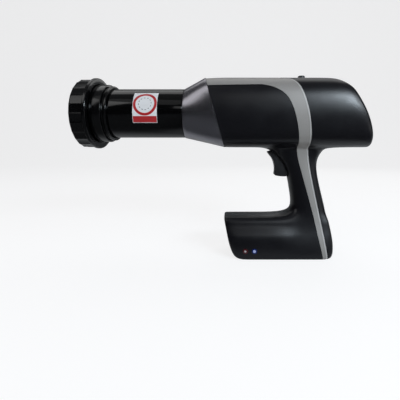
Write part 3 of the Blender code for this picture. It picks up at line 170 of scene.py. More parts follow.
# Beam tube, collar with its groove and lip, and lock ring: profiles turned about the beam axis, as place
# along X and radius in millimetres
TUBE_R = 33.0 * MM
TUBE_BORE_R = 30.0 * MM
RING_GRIP_R = 46.1 * MM
EDGE_BREAK = 0.8 * MM
TUBE_PROFILE = ((-262.0, 30.0), (-262.0, 33.0), (-129.0, 33.0), (-129.0, 30.0))
COLLAR_PROFILE = (
    (-244.6, 33.3), (-244.6, 38.9), (-230.3, 38.9), (-230.3, 34.6),
    (-227.2, 34.6), (-227.2, 36.9), (-224.2, 36.9), (-224.2, 33.3),
)
RING_PROFILE = (
    (-266.5, 36.0), (-266.5, 44.5), (-264.9, 46.1), (-249.8, 46.1), (-249.0, 47.7), (-245.7, 47.7),
    (-244.9, 46.9), (-244.9, 40.0), (-246.7, 39.2), (-246.7, 33.3), (-263.0, 33.3),
)
RING_FILLET = 0.5 * MM
FLUTE_COUNT = 24
FLUTE_STEPS = 12
FLUTE_DEPTH = 0.85 * MM
FLUTE_TURN = math.radians(10)

# Rear control panel, in its own tilted frame: each shape's centre height, half width, half height and corner
PANEL_TILT = math.radians(29.0)
PANEL_Z = 6.0 * MM
PANEL_SINK = 3.8 * MM
PANEL_THICK = 3.0 * MM
PANEL_SHAPE = (0.0, 28.0 * MM, 23.0 * MM, 5.0 * MM)
POCKET_LEDGE = 2.5 * MM
LENS_SHAPE = (8.0 * MM, 21.0 * MM, 12.5 * MM, 1.0 * MM)
LENS_THICK = 1.2 * MM
LENS_REST = 1.6 * MM
KEY_SHAPE = (-15.5 * MM, 4.6 * MM, 3.4 * MM, 1.0 * MM)
KEY_PROUD = 0.9 * MM
KEY_KEEP = 2.4 * MM
KEY_PLACES = [place * MM for place in (-18.75, -6.25, 6.25, 18.75)]

# Power button on the crown
BUTTON_X = 30.0 * MM
BUTTON_R = 4.8 * MM
BUTTON_FLANGE_R = 6.2 * MM
BUTTON_FLANGE_THICK = 1.4 * MM
BUTTON_EDGE = 0.7 * MM
SEAT_R = 7.6 * MM
SEAT_PROUD = 0.9 * MM

# Trigger in the front of the grip
TRIGGER_HALF_WIDTH = 7.4 * MM
SLOT_CLEARANCE = 0.5 * MM
PIVOT_X = 2.0 * MM
PIVOT_DROP = 8.5 * MM
PIVOT_Z = GRIP_TOP_Z - PIVOT_DROP
PIVOT_R = 1.5 * MM
PIVOT_CLEARANCE = 0.15 * MM
PIN_HALF_LENGTH = 14.0 * MM
HUB_R = 5.0 * MM
HUB_STEPS = 4
HUB_ARC = math.radians(80)
TRIGGER_REACH = 19.0 * MM
TRIGGER_DROP = 31.0 * MM
TRIGGER_SHARES = (
    (-0.990, 0.060), (-0.805, -0.095), (-0.660, -0.220), (-0.565, -0.350), (-0.510, -0.480),
    (-0.480, -0.620), (-0.480, -0.760), (-0.510, -0.880), (-0.475, -0.945), (-0.330, -0.975),
    (0.080, -1.000), (0.330, -0.985), (0.480, -0.860), (0.520, -0.550), (0.420, -0.220),
)
TRIGGER_CREST_SHARES = ((-0.300, 0.125), (-0.700, 0.130), (-0.900, 0.110))
SPRING_WIRE_R = 0.6 * MM
SPRING_R = 2.9 * MM
SPRING_TURNS = 4
SPRING_PITCH = SPRING_WIRE_R * 2 + GAP
SPRING_HALF_LENGTH = SPRING_PITCH * SPRING_TURNS / 2 + SPRING_WIRE_R

# Battery, its tray, the sole cover and the charging inlet
COVER_FRONT_X = -43.0 * MM
COVER_REAR_X = 38.0 * MM
COVER_HALF_WIDTH = 22.5 * MM
COVER_CORNER = 6.0 * MM
INLET_Z = 25.0 * MM
INLET_R = 6.0 * MM
INLET_BORE_R = 4.2 * MM
INLET_PIN_R = 1.0 * MM
INLET_DEPTH = 9.0 * MM
INLET_LENGTH = 13.0 * MM
INLET_PROUD = 1.2 * MM

# Pieces that are rounder or finer than their solids
SKIN_LEVEL = 2
HOLLOW_LEVEL = 1
SHARP_ANGLE = math.radians(35)
SHELL_SHARP_ANGLE = math.radians(28)
CORNER_STEPS = 8
EDGE_STEPS = 4
THINNEST = GAP / 10
TURN_STEPS = 144
BAND_EDGE_WIDTH = 2.3 * MM
BAND_RIM_INSET = HALF_GAP + BAND_EDGE_WIDTH * 0.85
BAND_EDGE_DEPTH = 0.35 * MM
CONE_EDGE = 0.6 * MM
CONE_STEPS = 10
CONE_LIP = ((0.0, -1.0), (0.3, -0.3), (1.0, 0.2))
CONE_RIM = ((0.997, 0.25), (0.991, 0.0))
SCREW_POINTS = ((-0.074, 0.172), (-0.030, 0.208), (0.006, 0.168), (0.024, 0.098), (-0.058, 0.022),
                (0.012, 0.022))
SCREW_WELL_R = 3.4 * MM
SCREW_SINK = 2.2 * MM
SCREW_HEAD_R = 2.9 * MM
SCREW_HEAD_HEIGHT = 1.6 * MM
SCREW_SOCKET_R = 1.3 * MM
SEAL_FRONT_X = -191.5 * MM
SEAL_REAR_X = -160.4 * MM
SEAL_LOW = math.radians(-26.2)
SEAL_HIGH = math.radians(47.5)
SEAL_THICK = 0.14 * MM
SEAL_SEAT = 0.02 * MM
SEAL_STEPS = 24
SEAL_ASPECT = (SEAL_HIGH - SEAL_LOW) * TUBE_R / (SEAL_REAR_X - SEAL_FRONT_X)
SEAL_RING_SHARE = SEAL_ASPECT * 0.5888
SEAL_RING_STRETCH = SEAL_ASPECT * 0.752
SEAL_TICKS = 12.0
SEAL_FOOT_SHARE = SEAL_ASPECT * 0.207
BADGE_PLACES = (-48.3 * MM, 11.5 * MM), (-36.6 * MM, 11.5 * MM)
BADGE_R = 3.4 * MM
BADGE_PROFILE = (
    (0.0, 0.35 * MM), (1.87 * MM, 0.322 * MM), (2.89 * MM, 0.2625 * MM), (BADGE_R, 0.1225 * MM),
    (BADGE_R, -0.2 * MM), (0.0, -0.2 * MM),
)
BADGE_STEPS = 48
BUTTON_DISH = 0.5 * MM
BUTTON_DISH_R = 2.976 * MM
BUTTON_FLOOR_R = 1.68 * MM
TRIGGER_ROUND = 1.8 * MM
THUMB_R = 6.0 * MM
THUMB_DEPTH = 1.2 * MM

# Studio paper, lights and camera
PAPER_REACH = 4.0
PAPER_BACK_Y = 1.6
PAPER_BEND = 1.2
PAPER_HEIGHT = 4.0
PAPER_THICK = 2.0 * MM
PAPER_STEPS = 12
# Painted light and shade that the paper shows in reflections: pale behind the object and in a pool of painted light
# under it, dim before it
PAPER_DARK_Y = -0.04
PAPER_PALE_Y = 0.10
PAPER_DIM_X = -0.08
PAPER_FRONT_X = -0.24
PAPER_POOL = (0.015, 0.02, 0.0)
PAPER_POOL_R = 0.07
PAPER_COLOUR = (0.80, 0.80, 0.795)
PAPER_SEEN = (0.80, 0.80, 0.805)
PAPER_LIT = (0.27, 0.27, 0.27)
PAPER_FAR = (0.80, 0.80, 0.80)
PAPER_NEAR = (0.08, 0.08, 0.08)
PAPER_FRONT = (0.16, 0.16, 0.165)
SOFTBOXES = (
    # name, place, aim, size, watts, colour
    ("key_softbox", (0.74, -1.08, 0.715), (0.06, 0.0, 0.20), (0.60, 0.22), 11.8, (0.80, 0.91, 1.0)),
    ("edge_softbox", (1.08, -0.62, 0.72), (0.08, -0.03, 0.19), (0.70, 0.20), 3.6, (0.85, 0.93, 1.0)),
    ("back_softbox", (-0.05, 0.64, 1.55), (-0.05, 0.0, 0.15), (2.0, 1.0), 6.0, (1.0, 1.0, 1.0)),
    ("left_softbox", (-0.745, -0.490, 0.735), (-0.11, -0.035, 0.213), (0.60, 0.36), 0.90, (1.0, 1.0, 1.0)),
    ("front_panel", (0.125, -1.35, 0.77), (0.0, 0.0, 0.20), (0.75, 0.26), 0.50, (1.0, 1.0, 1.0)),
    ("right_panel", (1.15, -0.42, 0.14), (0.03, 0.0, 0.08), (0.7, 0.3), 0.45, (1.0, 1.0, 1.0)),
    ("rear_panel", (0.55, 1.25, 0.75), (0.0, 0.0, 0.15), (0.9, 0.5), 1.4, (1.0, 1.0, 1.0)),
    ("left_panel", (-0.46, -0.76, 1.08), (-0.15, -0.03, 0.20), (0.7, 0.5), 0.30, (1.0, 1.0, 1.0)),
)
AIR_SEEN = 0.96
AIR_TINT = (0.94, 0.96, 1.0, 1.0)
AIR_LOW, AIR_HIGH = (0.40, 0.02), (0.98, 0.14)
CAMERA_PLACE = (-0.0646, -0.4125, 0.1476)
CAMERA_LENS = 27.0
CAMERA_SENSOR = 36.0
CAMERA_SHIFT = (-0.08125, -0.1386)


# --- form of the housing, as in the solids ---

def smooth_line(points, steps):
    """A smooth line through its points, as a Catmull-Rom curve."""
    padded = [points[0], *points, points[-1]]
    line = []
    for a, b, c, d in zip(padded, padded[1:], padded[2:], padded[3:]):
        for t in shares(steps)[:-1]:
            line.append(tuple(
                0.5 * (2 * q + (r - p) * t + (2 * p - 5 * q + 4 * r - s) * t * t + (3 * q - p - 3 * r + s) * t ** 3)
                for p, q, r, s in zip(a, b, c, d)))
    line.append(tuple(points[-1]))
    return line


def shifted_line(points, distance):
    """The line moved sideways, to the left of its own direction."""
    moved = []
    for before, (x, z), after in zip([points[0], *points], points, [*points[1:], points[-1]]):
        run = (after[0] - before[0], after[1] - before[1])
        length = math.hypot(*run)
        moved.append((x - run[1] / length * distance, z + run[0] / length * distance))
    return moved


def neighbours(points):
    """Each point of a ring, between the one before it and the two after it."""
    count = len(points)
    return [[points[(index + step) % count] for step in (-1, 0, 1, 2)] for index in range(count)]


def limit_ring(points):
    """The smooth ring that subdivision draws through a ring of cage points."""
    ring = []
    for four in neighbours(points):
        ring.append(tuple((p + 4 * q + r) / 6 for p, q, r, s in zip(*four)))
        ring.append(tuple((p + 23 * q + 23 * r + s) / 48 for p, q, r, s in zip(*four)))
    return ring


def fine_ring(points):
    """A closed smooth line through the ring's points, with three times as many."""
    return [place for four in neighbours(points) for place in smooth_line(four, 3)[3:6]]


def mix(low, high, share):
    return low + (high - low) * share


def shares(steps):
    """Even shares from nought to one."""
    return [step / steps for step in range(steps + 1)]


def full_turn(steps):
    return [math.tau * share for share in shares(steps)[:-1]]


def ellipse_inset(depth, reach, span, power=2.0):
    """How far a quarter of a soft oval has fallen back at a depth into its span."""
    share = min(max(depth / span, 0.0), 1.0)
    return reach * (1.0 - (1.0 - share ** power) ** (1.0 / power))


def rear_x(z):
    """The body's back outline in side view, at a height from the axis."""
    rise = BODY_TOP + BODY_CROWN + REAR_BELLY_DROP
    upper = ellipse_inset(z + REAR_BELLY_DROP, REAR_SWEEP, rise, REAR_SWEEP_POWER)
    lower = ellipse_inset(-z - REAR_BELLY_DROP, REAR_LOWER_R, BODY_BOTTOM - REAR_BELLY_DROP)
    return BODY_REAR_X - upper - lower


def rake_x(z):
    """The raked plane between the nose cone and the body."""
    return NOSE_RAKE_X - NOSE_RAKE * z


def toe_x(z):
    """The foot's front outline in side view."""
    toe = ellipse_inset(FOOT_TOE_R - z, FOOT_TOE_R, FOOT_TOE_R)
    return FOOT_FRONT_X + FOOT_FRONT_RAKE * (FOOT_TOP_Z - z) + toe


def heel_x(z):
    """The foot's back outline in side view."""
    lean = FOOT_REAR_LEAN * (max(z - FOOT_TOE_R, 0.0) / FOOT_TOP_Z) ** FOOT_LEAN_POWER
    return FOOT_REAR_X - lean - ellipse_inset(FOOT_TOE_R - z, FOOT_HEEL_R, FOOT_TOE_R)


def body_section(inset, drop=0.0):
    """Half of the body's section, from the crown to the belly, as (y, z) from the axis."""
    half, bottom = BODY_HALF_WIDTH - inset, BODY_BOTTOM - inset
    top = BODY_TOP - inset - drop
    top_r, low_r = TOP_CORNER_R - inset, BOTTOM_CORNER_R - inset
    side = half - SIDE_BOW
    flat, belly = side - top_r, side - low_r
    points = [(flat * y, top + BODY_CROWN * z) for y, z in CROWN_SHARES]
    points += [(flat + top_r * math.sin(t), top - top_r + top_r * math.cos(t)) for t in CORNER_TURNS]
    points += [(side, top - top_r), (half, (top - top_r - bottom + low_r) / 2), (side, low_r - bottom)]
    points += [(belly + low_r * math.cos(t), low_r - bottom - low_r * math.sin(t)) for t in CORNER_TURNS]
    return points + [(belly * share, -bottom) for share in BELLY_SHARES]


def foot_section(inset, side_shares):
    """Half of the foot's section, from its top to its sole, as (y, z) from the floor."""
    half, neck, sole = (width - inset for width in (FOOT_HALF_WIDTH, FOOT_NECK_HALF_WIDTH, FOOT_SOLE_HALF_WIDTH))
    top, floor = FOOT_TOP_Z - inset, inset - FOOT_BELOW
    points = [(neck * y, top * z) for y, z in FOOT_TOP_SHARES]
    points += [(neck + (half - neck) * y, top * z) for y, z in side_shares]
    points.append((half - FOOT_SOLE_CORNER / 2, floor + FOOT_SOLE_CORNER))
    return points + [(sole * share, floor) for share in reversed(FOOT_SOLE_SHARES)]


def lattice_place(section, high, j, k):
    """A point of the section, or inside it, for column j and row k of its lattice."""
    column, share = abs(j), k / high
    top, low = section[column], section[-1 - column]
    if k in (0, high):
        y, z = top if k else low
    else:
        edge = section[ACROSS_COUNT + high - k]
        upper, under = section[ACROSS_COUNT], section[-1 - ACROSS_COUNT]
        out = (edge[0] - mix(under[0], upper[0], share)) * column / ACROSS_COUNT
        y = mix(low[0], top[0], share) + out
        z = mix(low[1], top[1], share) + (edge[1] - mix(under[1], upper[1], share))
    return (y if j >= 0 else -y), z


def slices(high, base, shapes):
    """Stations of a lattice, from each one's section, width and place along X for a height, column and row."""
    def station(section, width, x_at):
        def place(j, k):
            y, z = lattice_place(section, high, j, k)
            return x_at(z, j, k), y * width, base + z
        return place
    return [station(*shape) for shape in shapes]


def body_stations(inset):
    """The body from its raked front over the grip's root to its swept back."""
    section = body_section(inset)

    def root(share, lean):
        x = ROOT_FRONT_X + (ROOT_REAR_X - ROOT_FRONT_X) * share
        return lambda z, j, k: x - (BODY_REAR_X - rear_x(z)) * lean

    def shoulder(z, j, k):
        push = REAR_TOP_PUSH if k == BODY_HIGH_COUNT else 0.0
        edge = REAR_LOWER_EDGE if k == 0 else REAR_EDGE_LENGTH
        return rear_x(min(z, BODY_TOP + BODY_CROWN - REAR_TOP_DROP)) - edge - inset + push

    def back(z, j, k):
        rim = abs(j) == ACROSS_COUNT or k in (0, BODY_HIGH_COUNT)
        push = REAR_BACK_PUSH if k == BODY_HIGH_COUNT else 0.0
        return rear_x(z) - inset + (0.0 if rim else REAR_BULGE) + push

    return slices(BODY_HIGH_COUNT, AXIS_HEIGHT, [
        (section, 1.0, lambda z, j, k: rake_x(z) - (RAKE_LAP + inset)),
        (section, 1.0, lambda z, j, k: BODY_MID_X + (rake_x(z) - NOSE_RAKE_X) / 2),
        *[(section, 1.0, root(*pair)) for pair in zip(ROOT_STATION_SHARES, ROOT_LEAN_SHARES)],
        (section, 1.0, shoulder),
        (body_section(inset, REAR_TOP_DROP), (BODY_HALF_WIDTH - REAR_EDGE_INSET) / BODY_HALF_WIDTH, back),
    ])


def foot_stations(inset):
    """The foot from its raked toe over the neck under the grip to its leaning heel."""
    front, root = foot_section(inset, FOOT_SIDE_SHARES), foot_section(inset, FOOT_ROOT_SHARES)
    narrow = (FOOT_HALF_WIDTH - FOOT_EDGE_INSET) / FOOT_HALF_WIDTH

    def neck(share):
        x = FOOT_NECK_X + (FOOT_REAR_X - FOOT_NECK_X) * share
        return lambda z, j, k: x - (FOOT_REAR_X - heel_x(z)) * share

    return slices(FOOT_HIGH_COUNT, 0.0, [
        (front, narrow, lambda z, j, k: toe_x(z) + inset),
        (front, 1.0, lambda z, j, k: toe_x(z) + FOOT_EDGE_LENGTH + inset),
        (front, 1.0, lambda z, j, k: FOOT_MID_X),
        *[(root if share else front, 1.0, neck(share)) for share in FOOT_STATION_SHARES],
        (root, narrow, lambda z, j, k: heel_x(z) - inset),
    ])


def lattice(bm, stations, high, open_row, start, end):
    """A closed box-like grid of stations, columns and rows, open in one row between two stations.

    Returns the loop round the opening: front edge, far side, back edge and near side.
    """
    across, last = ACROSS_COUNT, len(stations) - 1
    verts = {}

    def vert(i, j, k):
        if (i, j, k) not in verts:
            verts[i, j, k] = bm.verts.new(stations[i](j, k))
        return verts[i, j, k]

    def quad(*keys):
        bm.faces.new([vert(*key) for key in keys])

    for i in range(last):
        for j in range(-across, across):
            for k in (0, high):
                if k != open_row or not start <= i < end:
                    quad((i, j, k), (i + 1, j, k), (i + 1, j + 1, k), (i, j + 1, k))
        for k in range(high):
            for j in (-across, across):
                quad((i, j, k), (i + 1, j, k), (i + 1, j, k + 1), (i, j, k + 1))
    for i in (0, last):
        for j in range(-across, across):
            for k in range(high):
                quad((i, j, k), (i, j + 1, k), (i, j + 1, k + 1), (i, j, k + 1))
    loop = [(start, j) for j in range(-across, across)] + [(i, across) for i in range(start, end)]
    loop += [(end, j) for j in range(across, -across, -1)] + [(i, -across) for i in range(end, start, -1)]
    return [vert(i, j, open_row) for i, j in loop]


def grip_loop(level, inset):
    """One ring of the grip: front half, far side, back half and near side of a soft oval."""
    front_z, side_z, back_z, front, back, width = level
    low_x = GRIP_BACK_X + front * GRIP_DEPTH + inset
    high_x = GRIP_BACK_X + back * GRIP_DEPTH - inset
    half = GRIP_HALF_WIDTH * width - inset
    corner, last = ACROSS_COUNT, len(GRIP_ANGLES) - 1
    angles = [*GRIP_ANGLES[corner::-1], *GRIP_ANGLES[1:], *GRIP_ANGLES[last - 1:corner:-1]]
    sides = [-1] * corner + [1] * (last + 1) + [-1] * (last - corner - 1)
    ring = []
    for turn, side in zip(map(math.radians, angles), sides):
        along = math.copysign(abs(math.cos(turn)) ** (2 / GRIP_POWER), math.cos(turn))
        out = abs(math.sin(turn)) ** (2 / GRIP_POWER)
        height = front_z * max(along, 0.0) + back_z * max(-along, 0.0) + side_z * (1.0 - abs(along))
        x = (low_x + high_x) / 2 - (high_x - low_x) / 2 * along
        ring.append((x, side * half * out, FOOT_TOP_Z + (GRIP_TOP_Z - FOOT_TOP_Z) * height))
    return ring


def band_line(points):
    return smooth_line([(x * BODY_REAR_X, z * HOUSING_TOP) for x, z in points], 3)


BAND_FRONT = [(rake_x(BAND_SILL_Z - AXIS_HEIGHT) - OVERRUN, BAND_SILL_Z), *band_line(BAND_FRONT_SHARES)]
BAND_REAR = band_line(BAND_REAR_SHARES)
REGION_TOP = HOUSING_TOP + OVERRUN


def rake_point(height):
    return rake_x(height) + HALF_GAP, AXIS_HEIGHT + height


def sill_line(distance):
    """The band's front line moved sideways, starting on the raked plane."""
    edge = shifted_line(BAND_FRONT, distance)
    return [rake_point(edge[0][1] - AXIS_HEIGHT), *edge[1:]]


def front_region():
    """Side outline of the black front: behind the rake and below the band."""
    edge, foot = sill_line(-HALF_GAP), rake_point(-BODY_BOTTOM - OVERRUN)
    far = FOOT_FRONT_X - OVERRUN
    return [*edge, (edge[-1][0], -OVERRUN), (far, -OVERRUN), (far, foot[1]), foot]


def strip(lower, upper):
    """Side outline between two lines that run down the housing, from above it to below its sole."""
    return [*lower, (lower[-1][0], -OVERRUN), (upper[-1][0], -OVERRUN), *reversed(upper), (upper[0][0], REGION_TOP)]


def rear_region():
    """Side outline of the rear cover, behind the band."""
    edge, far = shifted_line(BAND_REAR, HALF_GAP), BODY_REAR_X + OVERRUN
    return [*edge, (edge[-1][0], -OVERRUN), (far, -OVERRUN), (far, REGION_TOP), (edge[0][0], REGION_TOP)]


def trigger_outline():
    """Side outline of the trigger: finger face and back, the hub round its pin, and the crest."""
    shape, crest = ([(PIVOT_X + x * TRIGGER_REACH, PIVOT_Z + z * TRIGGER_DROP) for x, z in points]
                    for points in (TRIGGER_SHARES, TRIGGER_CREST_SHARES))
    turns = [HUB_ARC * share for share in shares(HUB_STEPS)]
    return shape + [(PIVOT_X + HUB_R * math.cos(t), PIVOT_Z + HUB_R * math.sin(t)) for t in turns] + crest


# --- node trees ---

def spaced(values):
    """Socket names as the nodes spell them."""
    return {key.replace("_", " "): value for key, value in values.items()}


class Net:
    """Short calls for adding and linking the nodes of one tree."""

    def __init__(self, tree):
        self.tree = tree

    def feed(self, target, value):
        """Links a socket to the input, or writes the value into it."""
        if isinstance(value, bpy.types.NodeSocket):
            self.tree.links.new(value, target)
        else:
            target.default_value = value

    def add(self, kind, inputs=None, **settings):
        made = self.tree.nodes.new(kind)
        for key, value in settings.items():
            setattr(made, key, value)
        for key, value in (inputs or {}).items():
            self.feed(made.inputs[key], value)
        return made

    def sum(self, operation, first, second=0.0):
        return self.add("ShaderNodeMath", {0: first, 1: second}, operation=operation).outputs[0]

    def plus(self, first, second):
        return self.sum("ADD", first, second)

    def minus(self, first, second):
        return self.sum("SUBTRACT", first, second)

    def times(self, first, second):
        return self.sum("MULTIPLY", first, second)

    def reach(self, first, second):
        """Length of a line from its two sides."""
        return self.sum("SQRT", self.plus(self.sum("POWER", first, 2.0), self.sum("POWER", second, 2.0)))

    def split(self, vector):
        return self.add("ShaderNodeSeparateXYZ", {"Vector": vector}).outputs

    def noise(self, place, scale, detail=2.0, roughness=0.5):
        sockets = {"Vector": place, "Scale": scale, "Detail": detail, "Roughness": roughness}
        return self.add("ShaderNodeTexNoise", sockets).outputs["Fac"]

    def stretched(self, place, factors, turn=(0.0, 0.0, 0.0)):
        sockets = {"Vector": place, "Scale": factors, "Rotation": turn}
        return self.add("ShaderNodeMapping", sockets).outputs["Vector"]

    def away(self, place, point):
        return self.add("ShaderNodeVectorMath", {0: place, 1: point}, operation="DISTANCE").outputs["Value"]

    def remap(self, value, low, high, to_low=0.0, to_high=1.0):
        sockets = {"Value": value, "From Min": low, "From Max": high, "To Min": to_low, "To Max": to_high}
        return self.add("ShaderNodeMapRange", sockets, interpolation_type="SMOOTHSTEP").outputs["Result"]

    def blend(self, share, first, second):
        """A colour between two, each of them a socket or three shares of light."""
        made = self.add("ShaderNodeMix", data_type="RGBA")
        ends = [end if isinstance(end, bpy.types.NodeSocket) else (*end, 1.0) for end in (first, second)]
        for socket, value in zip(("Factor_Float", "A_Color", "B_Color"), (share, *ends)):
            self.feed(next(item for item in made.inputs if item.identifier == socket), value)
        return next(item for item in made.outputs if item.identifier == "Result_Color")


EFFECTS = {}
DUST = (0.42, 0.41, 0.39)


def effect(name, **inputs):
    """Keeps what the function wires up as a node group that many materials share."""
    def build(wire):
        group = bpy.data.node_groups.new(name, "ShaderNodeTree")
        sockets = spaced(inputs)
        group.interface.new_socket("Place", in_out="INPUT", socket_type="NodeSocketVector")
        for label, value in sockets.items():
            made = group.interface.new_socket(label, in_out="INPUT", socket_type="NodeSocketFloat")
            made.default_value = value
        net = Net(group)
        given = net.add("NodeGroupInput").outputs
        results = wire(net, given["Place"], *[given[label] for label in sockets])
        for label in results:
            group.interface.new_socket(label, in_out="OUTPUT", socket_type="NodeSocketFloat")
        net.add("NodeGroupOutput", results)
        EFFECTS[name] = group
        return wire
    return build


@effect("moulded_grain", Cells_per_metre=3000.0)
def moulded_grain(net, place, cells):
    """Fine spark-eroded texture of a moulding."""
    swell = net.noise(place, net.times(cells, 0.02))
    return {"Height": net.plus(net.noise(place, cells, 3.0, 0.6), net.times(swell, 0.35))}


@effect("edge_wear", Start=0.53, Full=0.62)
def edge_wear(net, place, start, full):
    """Rubbed edges: where the surface bends outwards, broken up by noise."""
    bend = net.add("ShaderNodeNewGeometry").outputs["Pointiness"]
    broken = net.remap(net.noise(place, 900.0, 4.0, 0.7), 0.38, 0.62)
    return {"Mask": net.times(net.remap(bend, start, full), broken)}


@effect("handling", Scratches=0.3)
def handling(net, place, scratches):
    """Smudges and hairline scratches from use."""
    smudge = net.remap(net.noise(place, 28.0, 4.0, 0.6), 0.35, 0.75)
    hair = net.noise(net.stretched(place, (60.0, 1400.0, 2600.0), (0.0, 0.35, 0.2)), 1.0)
    other = net.noise(net.stretched(place, (2200.0, 900.0, 50.0), (0.3, 0.1, 0.0)), 1.0)
    lines = net.plus(net.remap(hair, 0.70, 0.74), net.remap(other, 0.71, 0.75))
    return {"Mask": net.plus(smudge, net.times(lines, scratches))}


@effect("settled_dust", Amount=0.2)
def settled_dust(net, place, amount):
    """Thin dust that lies where the surface faces up."""
    up = net.split(net.add("ShaderNodeNewGeometry").outputs["Normal"])["Z"]
    specks = net.remap(net.noise(place, 1500.0, 3.0, 0.7), 0.55, 0.72)
    film = net.remap(net.noise(place, 40.0, 3.0), 0.30, 0.80)
    mask = net.times(net.plus(specks, net.times(film, 0.4)), net.remap(up, 0.55, 0.98))
    return {"Mask": net.times(mask, amount)}


@effect("metal_flake", Flakes_per_metre=4500.0)
def metal_flake(net, place, flakes):
    """Flakes in a metallic paint: each cell has its own shade and a small tilt."""
    cells = net.add("ShaderNodeTexVoronoi", {"Vector": place, "Scale": flakes}).outputs
    shade = net.add("ShaderNodeSeparateColor", {"Color": cells["Color"]}).outputs["Red"]
    return {"Shade": shade, "Height": cells["Distance"]}


@effect("lathe_rings", Rings_per_metre=2500.0)
def lathe_rings(net, place, rings):
    """Fine rings left by turning, along the beam axis."""
    line = net.add("ShaderNodeCombineXYZ", {"X": net.times(net.split(place)["X"], rings)})
    return {"Height": net.noise(line.outputs["Vector"], 1.0, 3.0, 0.6)}


# --- finishes ---

class Finish:
    """One material: a Principled shader whose colour, roughness and relief come from the effects."""

    def __init__(self, name, colour, roughness, metallic=0.0):
        self.material = bpy.data.materials.new(name)
        self.material.use_nodes = True
        self.net = Net(self.material.node_tree)
        self.shader = self.net.tree.nodes["Principled BSDF"]
        self.place = self.net.add("ShaderNodeTexCoord").outputs["Object"]
        self.colour = colour
        self.roughness = roughness
        self.height = 0.0
        self.set(Metallic=metallic, Roughness=roughness, Base_Color=(*colour, 1.0))

    def set(self, **sockets):
        for name, value in spaced(sockets).items():
            self.net.feed(self.shader.inputs[name], value)
        return self

    def effect(self, name, **inputs):
        sockets = {"Place": self.place, **spaced(inputs)}
        return self.net.add("ShaderNodeGroup", sockets, node_tree=EFFECTS[name]).outputs

    def tint(self, mask, colour, share=None):
        """Lays a colour over the masked part, at a share of its full strength."""
        mask = mask if share is None else self.net.times(mask, share)
        self.colour = self.net.blend(mask, self.colour, colour)
        return self.set(Base_Color=self.colour)

    def roughen(self, mask, amount):
        self.roughness = self.net.plus(self.roughness, self.net.times(mask, amount))
        return self.set(Roughness=self.roughness)

    def relief(self, height, depth):
        """Adds a height in metres to the bump."""
        self.height = self.net.plus(self.height, self.net.times(height, depth))
        return self

    def grain(self, cells, depth):
        return self.relief(self.effect("moulded_grain", Cells_per_metre=cells)["Height"], depth)

    def rings(self, rings, depth):
        return self.relief(self.effect("lathe_rings", Rings_per_metre=rings)["Height"], depth)

    def used(self, marks, scratches, dust=0.0, worn=None):
        """Traces of use: smudges, hairlines, rubbed edges and dust."""
        self.roughen(self.effect("handling", Scratches=scratches)["Mask"], marks)
        if worn:
            self.tint(self.effect("edge_wear")["Mask"], worn, 0.6)
        if dust:
            film = self.effect("settled_dust", Amount=dust)["Mask"]
            self.tint(film, DUST).roughen(film, 0.3)
        return self

    def flat_map(self, name):
        return self.net.add("ShaderNodeUVMap", uv_map=name).outputs["UV"]

    def done(self):
        if isinstance(self.height, bpy.types.NodeSocket):
            bump = self.net.add("ShaderNodeBump", {"Strength": 1.0, "Distance": 1.0, "Height": self.height})
            self.set(Normal=bump.outputs["Normal"])
        return self.material


def metallic_paint(name, colour, dark, roughness, metallic):
    """Paint with fine metal flakes under a thin clear coat."""
    look = Finish(name, colour, roughness, metallic)
    flake = look.effect("metal_flake", Flakes_per_metre=5200.0)
    look.tint(flake["Shade"], dark, 0.35).relief(flake["Height"], 0.004 * MM).grain(1800.0, 0.004 * MM)
    look.used(0.01, 0.20, 0.03, worn=(0.42, 0.42, 0.43))
    return look.set(Coat_Weight=0.10, Coat_Roughness=0.22)


def band_paint():
    """Metallic paint with a painted highlight along the rear edge and a line of painted shade beside it."""
    look = metallic_paint("band_paint", (0.335, 0.312, 0.294), (0.224, 0.208, 0.196), 0.45, 0.15)
    net = look.net
    away = net.add("ShaderNodeAttribute", attribute_name="from_rear_edge").outputs["Fac"]
    # Painted highlight: a lighter strip along the rear edge, where the rim would catch the light. Painted shade: a
    # darker line just inside it.
    painted_highlight_edge = net.remap(away, BAND_EDGE_WIDTH, BAND_EDGE_WIDTH * 0.7)
    painted_shade_line = net.times(net.remap(away, BAND_EDGE_WIDTH * 1.5, BAND_EDGE_WIDTH), net.minus(1.0, painted_highlight_edge))
    return look.tint(painted_highlight_edge, (0.60, 0.58, 0.56), 0.5).tint(painted_shade_line, (0.16, 0.155, 0.15), 0.35)


def rubber(name, colour, roughness):
    """Matt rubber with a fine skin and a little bloom."""
    look = Finish(name, colour, roughness).grain(3400.0, 0.012 * MM).used(0.10, 0.15, 0.25)
    return look.set(Sheen_Weight=0.15, Sheen_Roughness=0.5)


def turned_metal(name, colour, roughness, rings):
    look = Finish(name, colour, roughness, 1.0).rings(rings, 0.003 * MM)
    return look.used(0.10, 0.40, worn=(0.85, 0.85, 0.86))


def cast_metal(name, colour, roughness, stained):
    """Bare metal with a mottled, slightly tarnished skin."""
    look = Finish(name, colour, roughness, 1.0)
    patch = look.net.remap(look.net.noise(look.place, 90.0, 5.0, 0.65), 0.40, 0.70)
    return look.tint(patch, stained, 0.6).roughen(patch, 0.15).grain(1500.0, 0.015 * MM)


def circuit_board():
    """Green solder mask over copper tracks."""
    look = Finish("circuit_board", (0.012, 0.090, 0.040), 0.32)
    upright = look.net.stretched(look.place, (1.0, 1.0, 1.0), (0.0, math.pi / 2, 0.0))
    cells = look.net.add("ShaderNodeTexBrick", {"Vector": upright, "Scale": 260.0, "Mortar Size": 0.03})
    tracks = cells.outputs["Fac"]
    return look.tint(tracks, (0.05, 0.22, 0.07), 0.7).relief(tracks, 0.02 * MM).used(0.10, 0.20)


def clear_glass():
    """Clear glass with faint smears on its surface."""
    look = Finish("clear_glass", (0.90, 0.95, 0.96), 0.04)
    look.roughen(look.effect("handling", Scratches=0.2)["Mask"], 0.04)
    return look.set(Transmission_Weight=1.0, IOR=1.49)


